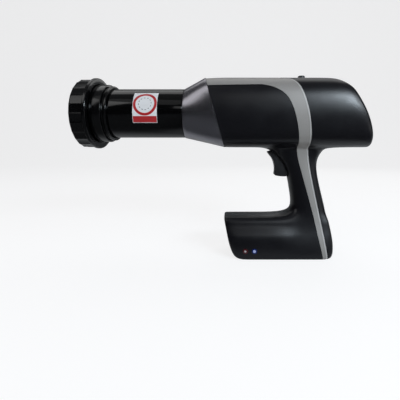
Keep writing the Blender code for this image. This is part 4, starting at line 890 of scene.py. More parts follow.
def display_glass():
    """Smoked window over an unlit display, with a paler field behind it."""
    look = Finish("display_glass", (0.006, 0.007, 0.009), 0.13)
    net, parts = look.net, look.net.split(look.flat_map("window"))
    near = [net.remap(net.sum("ABSOLUTE", net.minus(parts[axis], 0.5)), reach / 2 + 0.01, reach / 2)
            for axis, reach in (("X", 0.80), ("Y", 0.72))]
    look.tint(net.times(*near), (0.030, 0.036, 0.034)).used(0.06, 0.25, 0.15)
    return look.set(Coat_Weight=1.0, Coat_Roughness=0.09)


def seal_print():
    """White film plate with a plain ring and a plain coloured foot, read from its own flat coordinates."""
    look = Finish("seal_print", (0.86, 0.84, 0.84), 0.30)
    net, parts = look.net, look.net.split(look.flat_map("plate"))
    across = net.minus(parts["X"], 0.5)
    up = net.sum("DIVIDE", net.minus(parts["Y"], SEAL_RING_SHARE), SEAL_RING_STRETCH)
    away = net.reach(across, up)
    soft = 0.006

    def between(value, low, high):
        return net.times(net.remap(value, low - soft, low + soft), net.remap(value, high + soft, high - soft))

    turn = net.times(net.sum("ARCTAN2", up, across), SEAL_TICKS)
    ticks = net.times(between(away, 0.245, 0.270), net.remap(net.sum("SINE", turn), -0.1, 0.1))
    foot = net.times(between(parts["Y"], 0.018, SEAL_FOOT_SHARE), between(parts["X"], 0.015, 0.985))
    red = net.sum("MAXIMUM", between(away, 0.382, 0.488), foot)
    look.tint(ticks, (0.16, 0.15, 0.15)).tint(red, (0.50, 0.018, 0.022))
    return look.grain(900.0, 0.003 * MM).used(0.08, 0.20, 0.05).set(Coat_Weight=0.35)


def badge_print(name, colour, mark, reach):
    """Small enamelled disc with a plain pale dot, read from its own flat coordinates."""
    look = Finish(name, colour, 0.25)
    away = look.net.away(look.flat_map("plate"), (0.5, 0.5, 0.0))
    look.tint(look.net.remap(away, reach + 0.03, reach), mark)
    return look.grain(1200.0, 0.004 * MM).used(0.06, 0.20, 0.05)


def studio_paper():
    """Pale paper: evenly bright to the camera; in reflections, painted light behind the object and in a pool under it,
    and painted shade before it.
    """
    look = Finish("studio_paper", PAPER_COLOUR, 0.75)
    net, parts = look.net, look.net.split(look.place)
    path = net.add("ShaderNodeLightPath").outputs
    off = net.away(net.stretched(look.place, (0.5, 1.0, 1.0)), PAPER_POOL)
    # Painted light and shade seen only in reflections: pale behind the object and round a pool under it, dim before it.
    behind = net.remap(parts["Y"], PAPER_DARK_Y, PAPER_PALE_Y)
    painted_light_share = net.sum("MAXIMUM", behind, net.remap(off, PAPER_POOL_R * 2, PAPER_POOL_R))
    painted_shade_colour = net.blend(net.remap(parts["X"], PAPER_DIM_X, PAPER_FRONT_X), PAPER_NEAR, PAPER_FRONT)
    colour = net.blend(path["Is Glossy Ray"], look.colour, net.blend(painted_light_share, painted_shade_colour, PAPER_FAR))
    glow = net.blend(path["Is Camera Ray"], (0.0, 0.0, 0.0), PAPER_SEEN)
    look.set(Base_Color=net.blend(path["Is Camera Ray"], colour, PAPER_LIT), Emission_Color=glow)
    return look.set(Emission_Strength=1.0, Specular_IOR_Level=0.0)


FINISHES = {
    "satin": Finish("satin_housing", (0.0052, 0.0048, 0.0066), 0.28).grain(2600.0, 0.010 * MM)
    .used(0.07, 0.25, 0.10, worn=(0.05, 0.05, 0.055)).set(Specular_IOR_Level=0.42),
    "tube": Finish("gloss_tube", (0.0012, 0.0012, 0.0014), 0.07).rings(900.0, 0.0008 * MM)
    .used(0.05, 0.35, 0.05).set(Specular_IOR_Level=0.45),
    "ring": Finish("gloss_ring", (0.0018, 0.0018, 0.0021), 0.13).grain(700.0, 0.004 * MM)
    .used(0.07, 0.35, 0.08, worn=(0.07, 0.07, 0.075)).set(Specular_IOR_Level=0.45),
    "cone": metallic_paint("cone_paint", (0.340, 0.330, 0.360), (0.200, 0.195, 0.220), 0.26, 0.97),
    "band": band_paint(),
    "button": rubber("button_cap", (0.012, 0.012, 0.014), 0.42),
    "trigger": rubber("trigger_skin", (0.0085, 0.0078, 0.0088), 0.40),
    "key": rubber("key_rubber", (0.10, 0.105, 0.115), 0.55),
    "panel": rubber("panel_face", (0.016, 0.016, 0.019), 0.45),
    "switch": rubber("switch_case", (0.022, 0.022, 0.023), 0.48),
    "module": rubber("display_case", (0.016, 0.018, 0.020), 0.40),
    "steel": turned_metal("bright_steel", (0.56, 0.56, 0.57), 0.24, 3000.0),
    "screw": turned_metal("black_screw", (0.10, 0.10, 0.105), 0.32, 2500.0),
    "aluminium": turned_metal("turned_aluminium", (0.70, 0.71, 0.73), 0.32, 2200.0),
    "cast": cast_metal("cast_aluminium", (0.60, 0.61, 0.62), 0.42, (0.42, 0.43, 0.45)),
    "lead": cast_metal("lead_sheet", (0.24, 0.25, 0.27), 0.50, (0.15, 0.16, 0.18)),
    "copper": cast_metal("copper", (0.74, 0.40, 0.26), 0.34, (0.42, 0.20, 0.13)),
    "cell": Finish("cell_wrap", (0.020, 0.085, 0.260), 0.26).rings(350.0, 0.03 * MM).used(0.12, 0.30),
    "board": circuit_board(),
    "glass": clear_glass(),
    "display": display_glass(),
    "seal": seal_print(),
    "badge_red": badge_print("badge_red", (0.060, 0.008, 0.010), (0.48, 0.42, 0.42), 0.17),
    "badge_blue": badge_print("badge_blue", (0.006, 0.018, 0.110), (0.45, 0.50, 0.80), 0.24),
    "paper": studio_paper(),
}
LOOKS = {name: look.done() for name, look in FINISHES.items()}


# --- making and finishing meshes ---

def link(name, mesh):
    thing = bpy.data.objects.new(name, mesh)
    bpy.context.scene.collection.objects.link(thing)
    return thing


def shade(mesh, angle):
    """Smooth rounds and sharp corners."""
    mesh.shade_smooth()
    mesh.set_sharp_from_angle(angle=angle)


def store(name, bm, look=None):
    """Keep a bmesh as a named object, its faces outward."""
    bmesh.ops.remove_doubles(bm, verts=bm.verts[:], dist=0.001 * MM)
    bmesh.ops.recalc_face_normals(bm, faces=bm.faces[:])
    mesh = bpy.data.meshes.new(name)
    bm.to_mesh(mesh)
    bm.free()
    shade(mesh, SHARP_ANGLE)
    if look:
        mesh.materials.append(LOOKS[look])
    return link(name, mesh)


def freeze(thing, angle=SHARP_ANGLE):
    """Turn the modifiers' result into the object's own mesh."""
    bpy.context.view_layer.update()
    depsgraph = bpy.context.evaluated_depsgraph_get()
    mesh = bpy.data.meshes.new_from_object(thing.evaluated_get(depsgraph), depsgraph=depsgraph)
    thing.modifiers.clear()
    thing.data = mesh
    mesh.transform(thing.matrix_world)
    thing.matrix_world.identity()
    shade(mesh, angle)
    return thing


def combine(thing, shapes, operation):
    """Join, cut or keep the common part with closed shapes."""
    for shape in shapes:
        step = thing.modifiers.new(operation.title(), "BOOLEAN")
        step.operation = operation
        step.object = shape
        shape.hide_render = True


def drop(*shapes):
    for shape in shapes:
        bpy.data.objects.remove(shape, do_unlink=True)


def carve(piece, *shapes):
    """Cut closed shapes out of the piece and drop them."""
    combine(piece, shapes, "DIFFERENCE")
    freeze(piece)
    drop(*shapes)
    return piece


def settle(piece, body, slot, *nodes):
    """Hand a finished piece to its body and hide the nodes that it stands for; the slot argument is not used."""
    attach(piece, body)
    if nodes:
        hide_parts(*nodes)
    return piece


def standing(place, direction):
    """The frame at a place whose Z points along the direction."""
    turn = Vector((0.0, 0.0, 1.0)).rotation_difference(direction).to_matrix().to_4x4()
    turn.translation = place
    return turn


def lay_flat(piece, name, place):
    """A flat map over a piece, from what the function makes of each corner's point."""
    layer = piece.data.uv_layers.new(name=name)
    for loop in piece.data.loops:
        layer.data[loop.index].uv = place(piece.data.vertices[loop.vertex_index].co)


def bridge(bm, loops):
    """Faces between neighbouring loops, where a loop may be one point repeated."""
    for loop, following in zip(loops, loops[1:]):
        for index in range(len(loop)):
            after = (index + 1) % len(loop)
            corners = dict.fromkeys((loop[index], loop[after], following[after], following[index]))
            if len(corners) > 2:
                bm.faces.new(list(corners))


def loft(rings, closed=True):
    """Faces between neighbouring rings of points, and from the last back to the first if closed."""
    bm = bmesh.new()
    loops = []
    for ring in rings:
        made = {point: bm.verts.new(point) for point in dict.fromkeys(ring)}
        loops.append([made[point] for point in ring])
    bridge(bm, loops + loops[:1] if closed else loops)
    return bm, loops


def soften(bm, axes, offset, segments, clamp=False):
    """Round the edges that keep their place along the given axes."""
    edges = [e for e in bm.edges if all(abs(e.verts[0].co[i] - e.verts[1].co[i]) < THINNEST for i in axes)]
    bmesh.ops.bevel(bm, geom=edges, offset=offset, segments=segments, profile=0.5, affect="EDGES", clamp_overlap=clamp)


def filleted(profile, radius, steps=EDGE_STEPS):
    """The closed profile with each corner rounded, as far as its sides allow."""
    line = []
    for four in neighbours(profile):
        before, here, after, _ = map(Vector, four)
        reach = min(radius, (before - here).length * 0.45, (after - here).length * 0.45)
        start = here + (before - here).normalized() * reach
        end = here + (after - here).normalized() * reach
        for t in shares(steps):
            line.append(tuple(start * (1 - t) ** 2 + here * 2 * t * (1 - t) + end * t ** 2))
    return line


def turned(name, profile, look, steps=TURN_STEPS, height=AXIS_HEIGHT, fillet=0.25 * MM):
    """Spin a closed profile of (place along X, radius) about an axis along X."""
    line = [(x, radius if radius >= THINNEST else 0.0) for x, radius in filleted(profile, fillet)]
    rings = [[(x, radius * math.sin(t), height + radius * math.cos(t)) for t in full_turn(steps)] for x, radius in line]
    return store(name, loft(rings)[0], look)


def prism(name, outline, y_low, y_high, look=None, bevel=0.0):
    """Extrude an outline of (x, z) points from one side to the other."""
    bm = bmesh.new()
    face = bm.faces.new([bm.verts.new((x, y_low, z)) for x, z in outline])
    grown = bmesh.ops.extrude_face_region(bm, geom=[face])
    moved = [v for v in grown["geom"] if isinstance(v, bmesh.types.BMVert)]
    bmesh.ops.translate(bm, vec=(0.0, y_high - y_low, 0.0), verts=moved)
    if bevel:
        soften(bm, (1,), bevel, EDGE_STEPS, clamp=True)
    return store(name, bm, look)


def slab(name, low, high, look=None, corner=0.0, axis=2, edge=0.0, matrix=None):
    """A box with its corners along one axis rounded, and its rims broken."""
    bm = bmesh.new()
    bmesh.ops.create_cube(bm, size=1.0)
    bmesh.ops.scale(bm, vec=[b - a for a, b in zip(low, high)], verts=bm.verts[:])
    bmesh.ops.translate(bm, vec=[(a + b) / 2 for a, b in zip(low, high)], verts=bm.verts[:])
    if corner:
        soften(bm, [i for i in range(3) if i != axis], corner, CORNER_STEPS)
    if edge:
        soften(bm, (axis,), edge, EDGE_STEPS)
    if matrix:
        bmesh.ops.transform(bm, matrix=matrix, verts=bm.verts[:])
    return store(name, bm, look)


def post(name, radius, start, end, steps=64, edge=0.0):
    """A round bar between two points, its rims broken."""
    bm = bmesh.new()
    start, end = Vector(start), Vector(end)
    bmesh.ops.create_cone(bm, cap_ends=True, segments=steps, radius1=radius, radius2=radius,
                          depth=(end - start).length)
    if edge:
        soften(bm, (2,), edge, EDGE_STEPS)
    bmesh.ops.transform(bm, matrix=standing((start + end) / 2, end - start), verts=bm.verts[:])
    return store(name, bm)


def cross_bar(name, radius, reach, steps):
    """A round bar through the trigger's pivot, from side to side."""
    return post(name, radius, (PIVOT_X, -reach, PIVOT_Z), (PIVOT_X, reach, PIVOT_Z), steps)


# --- repeats made with geometry nodes ---

def repeat_tree(name, **inputs):
    """A geometry tree with named inputs, whose first input is the base mesh."""
    tree = bpy.data.node_groups.new(name, "GeometryNodeTree")
    for label, kind in {"Geometry": "Geometry", **spaced(inputs)}.items():
        tree.interface.new_socket(label, in_out="INPUT", socket_type="NodeSocket" + kind)
    tree.interface.new_socket("Geometry", in_out="OUTPUT", socket_type="NodeSocketGeometry")
    net = Net(tree)
    return net, net.add("NodeGroupInput").outputs


def close_tree(net, geometry, finish):
    """Make the result real, give it its finish and send it out."""
    whole = net.add("GeometryNodeRealizeInstances", {"Geometry": geometry}).outputs["Geometry"]
    done = net.add("GeometryNodeSetMaterial", {"Geometry": whole, "Material": finish}).outputs["Geometry"]
    net.add("NodeGroupOutput", {"Geometry": done})
    return net.tree


def run_tree(thing, tree, **values):
    """Set the tree's inputs by their identifiers and keep its result as a plain mesh."""
    step = thing.modifiers.new("Repeat", "NODES")
    step.node_group = tree
    values = spaced(values)
    for item in tree.interface.items_tree:
        if item.in_out == "INPUT" and item.name in values:
            step[item.identifier] = values[item.name]
    return freeze(thing)


def flats_tree():
    """Hollows the outside of a turned ring into a row of shallow finger flats."""
    net, given = repeat_tree("finger_flats", Count="Int", Depth="Float", Grip_radius="Float", Axis_height="Float",
                             Turn="Float", Finish="Material")
    parts = net.split(net.add("GeometryNodeInputPosition").outputs["Position"])
    up = net.minus(parts["Z"], given["Axis height"])
    away = net.reach(parts["Y"], up)
    turn = net.plus(net.sum("ARCTAN2", parts["Y"], up), given["Turn"])
    wave = net.sum("ABSOLUTE", net.sum("SINE", net.times(turn, net.times(given["Count"], 0.5))))
    hollow = net.times(net.sum("POWER", wave, 0.7), given["Depth"])
    inner = net.minus(given["Grip radius"], net.times(given["Depth"], 3.0))
    edge = net.add("ShaderNodeMapRange", {"Value": away, "From Min": inner, "From Max": given["Grip radius"]})
    on_grip = net.add("FunctionNodeCompare", {0: away, 1: net.plus(given["Grip radius"], 0.1 * MM)},
                      data_type="FLOAT", operation="LESS_THAN").outputs["Result"]
    shrink = net.sum("DIVIDE", net.times(hollow, edge.outputs["Result"]), net.sum("MAXIMUM", away, MM))
    offset = net.add("ShaderNodeCombineXYZ", {
        axis: net.times(net.times(side, shrink), -1.0) for axis, side in (("Y", parts["Y"]), ("Z", up))})
    moved = net.add("GeometryNodeSetPosition", {"Geometry": given["Geometry"], "Selection": on_grip,
                                                "Offset": offset.outputs["Vector"]})
    return close_tree(net, moved.outputs["Geometry"], given["Finish"])


def screws_tree():
    """Sets a dished socket-head screw at every point, facing along its stored direction."""
    net, given = repeat_tree("screws", Head_radius="Float", Head_height="Float", Socket_radius="Float",
                             Finish="Material")
    tall = given["Head height"]
    head = net.add("GeometryNodeMeshCylinder", {"Vertices": 40, "Side Segments": 1, "Fill Segments": 3,
                                                "Radius": given["Head radius"], "Depth": tall})
    socket = net.add("GeometryNodeMeshCylinder", {"Vertices": 6, "Radius": given["Socket radius"], "Depth": tall})
    high = net.add("ShaderNodeCombineXYZ", {"Z": net.times(tall, 0.55)}).outputs["Vector"]
    lifted = net.add("GeometryNodeTransform", {"Geometry": socket.outputs["Mesh"], "Translation": high})
    cut = net.add("GeometryNodeMeshBoolean", {"Mesh 1": head.outputs["Mesh"], "Mesh 2": lifted.outputs["Geometry"]},
                  operation="DIFFERENCE", solver="EXACT")
    facing = net.add("GeometryNodeInputNamedAttribute", {"Name": "facing"}, data_type="FLOAT_VECTOR").outputs[0]
    turn = net.add("FunctionNodeAlignRotationToVector", {"Vector": facing}, axis="Z").outputs["Rotation"]
    placed = net.add("GeometryNodeInstanceOnPoints", {"Points": given["Geometry"], "Instance": cut.outputs["Mesh"],
                                                      "Rotation": turn})
    return close_tree(net, placed.outputs["Instances"], given["Finish"])


# --- housing mouldings ---

def housing_cage(name, inset, level):
    """Body, grip and foot as one closed cage, smoothed by subdivision."""
    bm = bmesh.new()
    root = lattice(bm, body_stations(inset), BODY_HIGH_COUNT, 0, *BODY_ROOT_STATIONS)
    neck = lattice(bm, foot_stations(inset), FOOT_HIGH_COUNT, FOOT_HIGH_COUNT, *FOOT_ROOT_STATIONS)
    grip = [[bm.verts.new(point) for point in grip_loop(level_shares, inset)] for level_shares in GRIP_LEVEL_SHARES]
    bridge(bm, [root, *grip, neck])
    thing = store(name, bm)
    smooth = thing.modifiers.new("Smooth", "SUBSURF")
    smooth.levels = smooth.render_levels = level
    smooth.use_limit_surface = True
    thing.modifiers.new("Facets", "TRIANGULATE")
    return freeze(thing)


def moulding(name, skin, outline, look, y_low, y_high, hollow, cuts=(), joins=()):
    """One shell of the housing, cut from the smooth skin, hollowed, and opened for what shows through it."""
    piece = link(name, skin.data.copy())
    piece.data.materials.append(LOOKS[look])
    region = prism(name + "_region", outline, y_low, y_high)
    floor = slab(name + "_floor", (FOOT_FRONT_X - OVERRUN, -HOUSING_WIDE, -OVERRUN),
                 (BODY_REAR_X + OVERRUN, HOUSING_WIDE, 0.0))
    combine(piece, [region], "INTERSECT")
    combine(piece, [hollow, floor], "DIFFERENCE")
    combine(piece, joins, "UNION")
    combine(piece, cuts, "DIFFERENCE")
    freeze(piece, SHELL_SHARP_ANGLE)
    drop(region, floor)
    return piece


def skin_point(skin, x, z, side):
    """Where a line from one side meets the skin, and which way the skin faces there."""
    hit, place, normal, face = skin.ray_cast(Vector((x, side * HOUSING_WIDE, z)), Vector((0.0, -side, 0.0)))
    return Vector(place), Vector(normal)


def housing():
    """The two grip halves, the grey band and the rear cover, with their openings."""
    skin = housing_cage("housing_skin", 0.0, SKIN_LEVEL)
    hollow = housing_cage("housing_hollow", WALL, HOLLOW_LEVEL)
    slot_half, sole_half = TRIGGER_HALF_WIDTH + SLOT_CLEARANCE, COVER_HALF_WIDTH + GAP
    openings = [
        slab("slot_shape", (PIVOT_X - TRIGGER_REACH - OVERRUN, -slot_half, PIVOT_Z - TRIGGER_DROP - SLOT_CLEARANCE * 2),
             (PIVOT_X + TRIGGER_REACH, slot_half, PIVOT_Z + HUB_R + SLOT_CLEARANCE), corner=EDGE_BREAK, axis=0),
        cross_bar("pin_bore", PIVOT_R + GAP, PIN_HALF_LENGTH + GAP, 24),
        slab("sole_shape", (COVER_FRONT_X - GAP, -sole_half, -WALL), (COVER_REAR_X + GAP, sole_half, WALL * 2),
             corner=COVER_CORNER + GAP),
    ]
    screws = [skin_point(skin, x, z, 1)[0] for x, z in SCREW_POINTS]
    wells = [post("screw_well_%d" % i, SCREW_WELL_R, p - Vector((0, SCREW_SINK, 0)), p + Vector((0, OVERRUN, 0)), 48)
             for i, p in enumerate(screws)]
    left = moulding("grip_half_left", skin, front_region(), "satin", -HOUSING_WIDE, -HALF_GAP, hollow, openings)
    right = moulding("grip_half_right", skin, front_region(), "satin", HALF_GAP, HOUSING_WIDE, hollow,
                     [*openings, *wells])
    edge_skin = housing_cage("edge_skin", BAND_EDGE_DEPTH, SKIN_LEVEL)
    inner = shifted_line(BAND_REAR, -BAND_RIM_INSET)
    outline = [(inner[0][0], REGION_TOP), *strip(inner, shifted_line(BAND_REAR, OVERRUN / 4))]
    rim = carve(prism("band_rim", outline, -HOUSING_WIDE, HOUSING_WIDE), edge_skin)
    front, rear = sill_line(HALF_GAP), shifted_line(BAND_REAR, -HALF_GAP)
    outline = [*strip(front, rear), rake_point(BODY_TOP + OVERRUN)]
    band = moulding("colour_band", skin, outline, "band", -HOUSING_WIDE, HOUSING_WIDE, hollow, [rim])
    mark_rear_edge(band, rear)
    settle(left, "unit", "satin_black", "housing_left")
    settle(right, "unit", "satin_black", "housing_right")
    settle(band, "unit", "band_grey", "trim_band")
    rear_cover(skin, hollow)
    side_screws(screws)
    drop(rim, skin, hollow, *openings, *wells)
    return left


def mark_rear_edge(band, edge):
    """How far each point of the band lies from its rear edge, for the painted highlight along its rim and the painted
    shade beside it.
    """
    line = [Vector(point) for point in edge]
    places = band.data.attributes.new("from_rear_edge", "FLOAT", "POINT")
    for vertex, item in zip(band.data.vertices, places.data):
        point = Vector((vertex.co.x, vertex.co.z))
        gaps = []
        for first, last in zip(line, line[1:]):
            reach = last - first
            share = min(1.0, max(0.0, (point - first).dot(reach) / reach.length_squared))
            gaps.append((point - first - reach * share).length)
        item.value = min(gaps)


def rear_cover(skin, hollow):
    """Rear cover with the pocket of the control panel, the button's seat and the inlet's hole."""
    middle, inside, inlet_x = (BUTTON_X, 0.0), CROWN_Z - WALL, heel_x(INLET_Z)
    seat = post("button_seat", SEAT_R, (*middle, inside + WALL / 2), (*middle, CROWN_Z + SEAT_PROUD),
                edge=EDGE_BREAK / 2)
    cuts = [
        post("button_bore", BUTTON_R + GAP, (*middle, inside - WALL), (*middle, CROWN_Z + OVERRUN)),
        panel_slab("panel_pocket", PANEL_SHAPE, GAP, -PANEL_THICK - GAP, OVERRUN),
        panel_slab("panel_through", PANEL_SHAPE, -POCKET_LEDGE, -OVERRUN, WALL),
        post("inlet_hole", INLET_R + GAP, (inlet_x - OVERRUN / 2, 0.0, INLET_Z), (inlet_x + OVERRUN, 0.0, INLET_Z)),
    ]
    cover = moulding("rear_shell", skin, rear_region(), "satin", -HOUSING_WIDE, HOUSING_WIDE, hollow, cuts, [seat])
    drop(seat, *cuts)
    settle(cover, "unit", "satin_black", "rear_cover")


def side_screws(places):
    """Socket-head screws at the bottom of the wells on the hidden side."""
    mesh = bpy.data.meshes.new("side_screws")
    mesh.from_pydata([p - Vector((0, SCREW_SINK - SCREW_HEAD_HEIGHT / 2, 0)) for p in places], [], [])
    for item in mesh.attributes.new("facing", "FLOAT_VECTOR", "POINT").data:
        item.vector = (0.0, 1.0, 0.0)
    screws = run_tree(link("side_screws", mesh), screws_tree(), Head_radius=SCREW_HEAD_R,
                      Head_height=SCREW_HEAD_HEIGHT, Socket_radius=SCREW_SOCKET_R, Finish=LOOKS["screw"])
    settle(screws, "unit", "steel")


# --- nose, tube, collar and ring ---

def nose_cone():
    """Painted cone from the round tube to the raked front of the body."""
    outer, inner = (fine_ring(limit_ring(half + [(-y, z) for y, z in half[-2:0:-1]]))
                    for half in (body_section(0.0), body_section(WALL)))
    turns = [math.atan2(y, z) for y, z in outer]
    seat_x = NOSE_FRONT_X + NOSE_SEAT_DEPTH

    def circle(place, radius):
        return [(place, radius * math.sin(turn), AXIS_HEIGHT + radius * math.cos(turn)) for turn in turns]

    def raked(ring):
        return [(rake_x(z) - HALF_GAP, y, AXIS_HEIGHT + z) for y, z in ring]

    def drawn_in(ring, share, offset):
        return [(x - offset, y * share, AXIS_HEIGHT + (z - AXIS_HEIGHT) * share) for x, y, z in ring]

    *rings, front = [circle(NOSE_FRONT_X + CONE_EDGE * along, NOSE_FRONT_R + CONE_EDGE * out)
                     for along, out in CONE_LIP]
    back = raked(outer)
    for share in shares(CONE_STEPS):
        t = share * (1.0 - CONE_EDGE / (NOSE_RAKE_X - NOSE_FRONT_X))
        rings.append([tuple(mix(a, b, t) for a, b in zip(p, q)) for p, q in zip(front, back)])
    rings += [drawn_in(back, share, CONE_EDGE * offset) for share, offset in CONE_RIM]
    rings += [raked(inner), circle(seat_x, NOSE_FRONT_R - WALL), circle(seat_x, TUBE_BORE_R),
              circle(NOSE_FRONT_X, TUBE_BORE_R)]
    settle(store("cone_shell", loft(rings)[0], "cone"), "unit", "cone_grey", "nose_cone")


def barrel():
    """Beam tube, collar and lock ring, every edge rounded, with finger flats round the ring."""
    tube, collar, ring = ([(x * MM, radius * MM) for x, radius in profile]
                          for profile in (TUBE_PROFILE, COLLAR_PROFILE, RING_PROFILE))
    settle(turned("tube_barrel", tube, "tube", fillet=EDGE_BREAK), "unit", "gloss_black", "beam_tube")
    settle(turned("collar_rings", collar, "ring", fillet=EDGE_BREAK), "unit", "gloss_black", "front_collar")
    grip = turned("grip_ring", ring, None, FLUTE_COUNT * FLUTE_STEPS, fillet=RING_FILLET)
    run_tree(grip, flats_tree(), Count=FLUTE_COUNT, Depth=FLUTE_DEPTH, Grip_radius=RING_GRIP_R,
             Axis_height=AXIS_HEIGHT, Turn=-FLUTE_TURN, Finish=LOOKS["ring"])
    settle(grip, "ring", "gloss_black", "lock_ring")


# --- plates and badges on the skin ---

def seal_plate():
    """Thin film plate on the tube, curved with it, with its own flat coordinates."""
    places, turns = ([mix(low, high, share) for share in shares(SEAL_STEPS)]
                     for low, high in ((SEAL_FRONT_X, SEAL_REAR_X), (SEAL_LOW, SEAL_HIGH)))
    section = [(TUBE_R + SEAL_THICK, turn) for turn in turns] + [(TUBE_R + SEAL_SEAT, turn) for turn in turns[::-1]]
    bm, loops = loft([[(x, -r * math.cos(t), AXIS_HEIGHT + r * math.sin(t)) for r, t in section]
                      for x in places], False)
    for end in (loops[0], loops[-1]):
        for index in range(SEAL_STEPS):
            bm.faces.new((end[index], end[index + 1], end[-2 - index], end[-1 - index]))
    plate = store("tube_plate", bm, "seal")

    def flat(point):
        turn = math.atan2(point.z - AXIS_HEIGHT, -point.y)
        return ((point.x - SEAL_FRONT_X) / (SEAL_REAR_X - SEAL_FRONT_X),
                (turn - SEAL_LOW) / (SEAL_HIGH - SEAL_LOW) * SEAL_ASPECT)

    lay_flat(plate, "plate", flat)
    settle(plate, "unit", None)


def badge(name, skin, x, z, look):
    """A small domed disc let into the side of the foot, with its own flat coordinates."""
    stand = standing(*skin_point(skin, x, z, -1))
    bm, loops = loft([[(radius * math.cos(t), radius * math.sin(t), rise) for t in full_turn(BADGE_STEPS)]
                      for radius, rise in BADGE_PROFILE], False)
    bmesh.ops.transform(bm, matrix=stand, verts=bm.verts[:])
    disc, back = store(name, bm, look), stand.inverted()
    lay_flat(disc, "plate", lambda point: [0.5 + side / BADGE_R / 2 for side in (back @ point).xy])
    settle(disc, "unit", None)


# --- controls ---

PANEL = Matrix.Rotation(-PANEL_TILT, 4, "Y")
PANEL.translation = (rear_x(PANEL_Z) - PANEL_SINK, 0.0, AXIS_HEIGHT + PANEL_Z)


def panel_slab(name, shape, grow, low_x, high_x, look=None, edge=0.0, side=0.0):
    """A box in the tilted frame of the control panel, whose X points out of the rear face."""
    centre, half_width, half_height, corner = shape
    low = (low_x, side - half_width - grow, centre - half_height - grow)
    high = (high_x, side + half_width + grow, centre + half_height + grow)
    return slab(name, low, high, look, corner, 0, edge, PANEL)


def control_panel():
    """Panel plate with its window, and the four keys."""
    under = -PANEL_THICK - WALL
    plate = panel_slab("panel_plate", PANEL_SHAPE, 0.0, -PANEL_THICK, 0.0, "panel", EDGE_BREAK / 2)
    carve(plate, panel_slab("window_shape", LENS_SHAPE, -LENS_REST, under, WALL),
          panel_slab("recess_shape", LENS_SHAPE, GAP, -LENS_THICK - GAP, WALL),
          *[panel_slab("key_hole", KEY_SHAPE, GAP, under, WALL, side=side) for side in KEY_PLACES])
    settle(plate, "unit", "satin_black", "rear_panel")
    lens = panel_slab("window_lens", LENS_SHAPE, 0.0, -LENS_THICK, 0.0, "display", EDGE_BREAK / 4)
    back, (centre, half_width, half_height, corner) = PANEL.inverted(), LENS_SHAPE

    def flat(point):
        place = back @ point
        return 0.5 + place.y / half_width / 2, 0.5 + (place.z - centre) / half_height / 2

    lay_flat(lens, "window", flat)
    settle(lens, "unit", "clear_glass", "display_lens")
    for number, side in enumerate(KEY_PLACES, 1):
        key = panel_slab("rubber_key_%d" % number, KEY_SHAPE, 0.0, -KEY_KEEP, KEY_PROUD, "key",
                         EDGE_BREAK / 2, side)
        settle(key, "key_%d" % number, "key_grey", "key_%d" % number)


def power_button():
    """Turned push button with a dished top."""
    low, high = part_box("power_button")
    base, top, rim = low[2], high[2], low[2] + BUTTON_FLANGE_THICK
    profile = [(base, 0.0), (base, BUTTON_FLANGE_R), (rim, BUTTON_FLANGE_R), (rim, BUTTON_R),
               (top - BUTTON_EDGE, BUTTON_R), (top, BUTTON_R - BUTTON_EDGE), (top, BUTTON_DISH_R),
               (top - BUTTON_DISH, BUTTON_FLOOR_R), (top - BUTTON_DISH, 0.0)]
    button = turned("push_button", profile, "button", 64, 0.0, 0.2 * MM)
    button.data.transform(Matrix(((0, 0, -1, BUTTON_X), (0, 1, 0, 0), (1, 0, 0, 0), (0, 0, 0, 1))))
    settle(button, "power", "satin_black", "power_button")


def trigger():
    """Curved trigger with a rounded finger face, a bore for its pin and a notch for its spring."""
    body = prism("finger_trigger", fine_ring(trigger_outline()), -TRIGGER_HALF_WIDTH, TRIGGER_HALF_WIDTH,
                 "trigger", TRIGGER_ROUND)
    around, half = SPRING_R + SPRING_WIRE_R + GAP, SPRING_HALF_LENGTH + GAP
    carve(body, cross_bar("trigger_bore", PIVOT_R + PIVOT_CLEARANCE, OVERRUN, 32),
          slab("trigger_notch", (PIVOT_X - around, -half, PIVOT_Z - around),
               (PIVOT_X + OVERRUN, half, PIVOT_Z + OVERRUN)))
    settle(body, "trigger", "satin_black", "trigger")


def charge_inlet():
    """Round inlet with its centre pin."""
    rim = heel_x(INLET_Z) + INLET_PROUD
    back, floor, pin_tip = heel_x(INLET_Z) - INLET_LENGTH, rim - INLET_DEPTH, rim - INLET_PROUD * 2
    profile = [(back, 0.0), (back, INLET_R), (rim, INLET_R), (rim, INLET_BORE_R), (floor, INLET_BORE_R),
               (floor, INLET_PIN_R), (pin_tip, INLET_PIN_R), (pin_tip, 0.0)]
    settle(turned("inlet_socket", profile, "steel", 64, INLET_Z), "unit", "steel", "charge_inlet")


def battery_cover():
    """Sole cover with rounded edges and a thumb recess."""
    cover = slab("sole_cover", (COVER_FRONT_X, -COVER_HALF_WIDTH, 0.0),
                 (COVER_REAR_X, COVER_HALF_WIDTH, WALL - FOOT_BELOW), "satin", COVER_CORNER, 2, EDGE_BREAK / 2)
    ends = [(COVER_REAR_X - THUMB_R * reach, 0.0, THUMB_DEPTH - THUMB_R) for reach in (1, 3)]
    carve(cover, post("thumb_shape", THUMB_R, *ends, edge=THUMB_R / 2))
    settle(cover, "unit", "satin_black", "battery_cover")


# --- inner pieces that keep their solids ---

INNER_LOOKS = {
    "steel": ("cathode_stem", "trigger_pin", "trigger_spring", "switch_bracket"),
    "aluminium": ("tube_adapter", "beam_filter"),
    "lead": ("tube_liner", "collimator"),
    "cast": ("generator_tank", "tank_lid"),
    "glass": ("port_window", "xray_glass"),
    "copper": ("anode_stem", "hv_transformer"),
    "board": ("inverter_board", "control_board", "display_board"),
    "module": ("display_module",),
    "switch": ("power_switch", "trigger_switch", "battery_tray"),
    "cell": ("battery_cell_1", "battery_cell_2", "battery_cell_3", "battery_cell_4"),
}


def dress_inner_nodes():
    """Give every carried-over solid its own detailed finish."""
    looks = {name: look for look, names in INNER_LOOKS.items() for name in names}
    for name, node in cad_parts.items():
        if not node.hide_render:
            node.data.materials.clear()
            node.data.materials.append(LOOKS[looks[name]])


# --- floor, light and camera ---

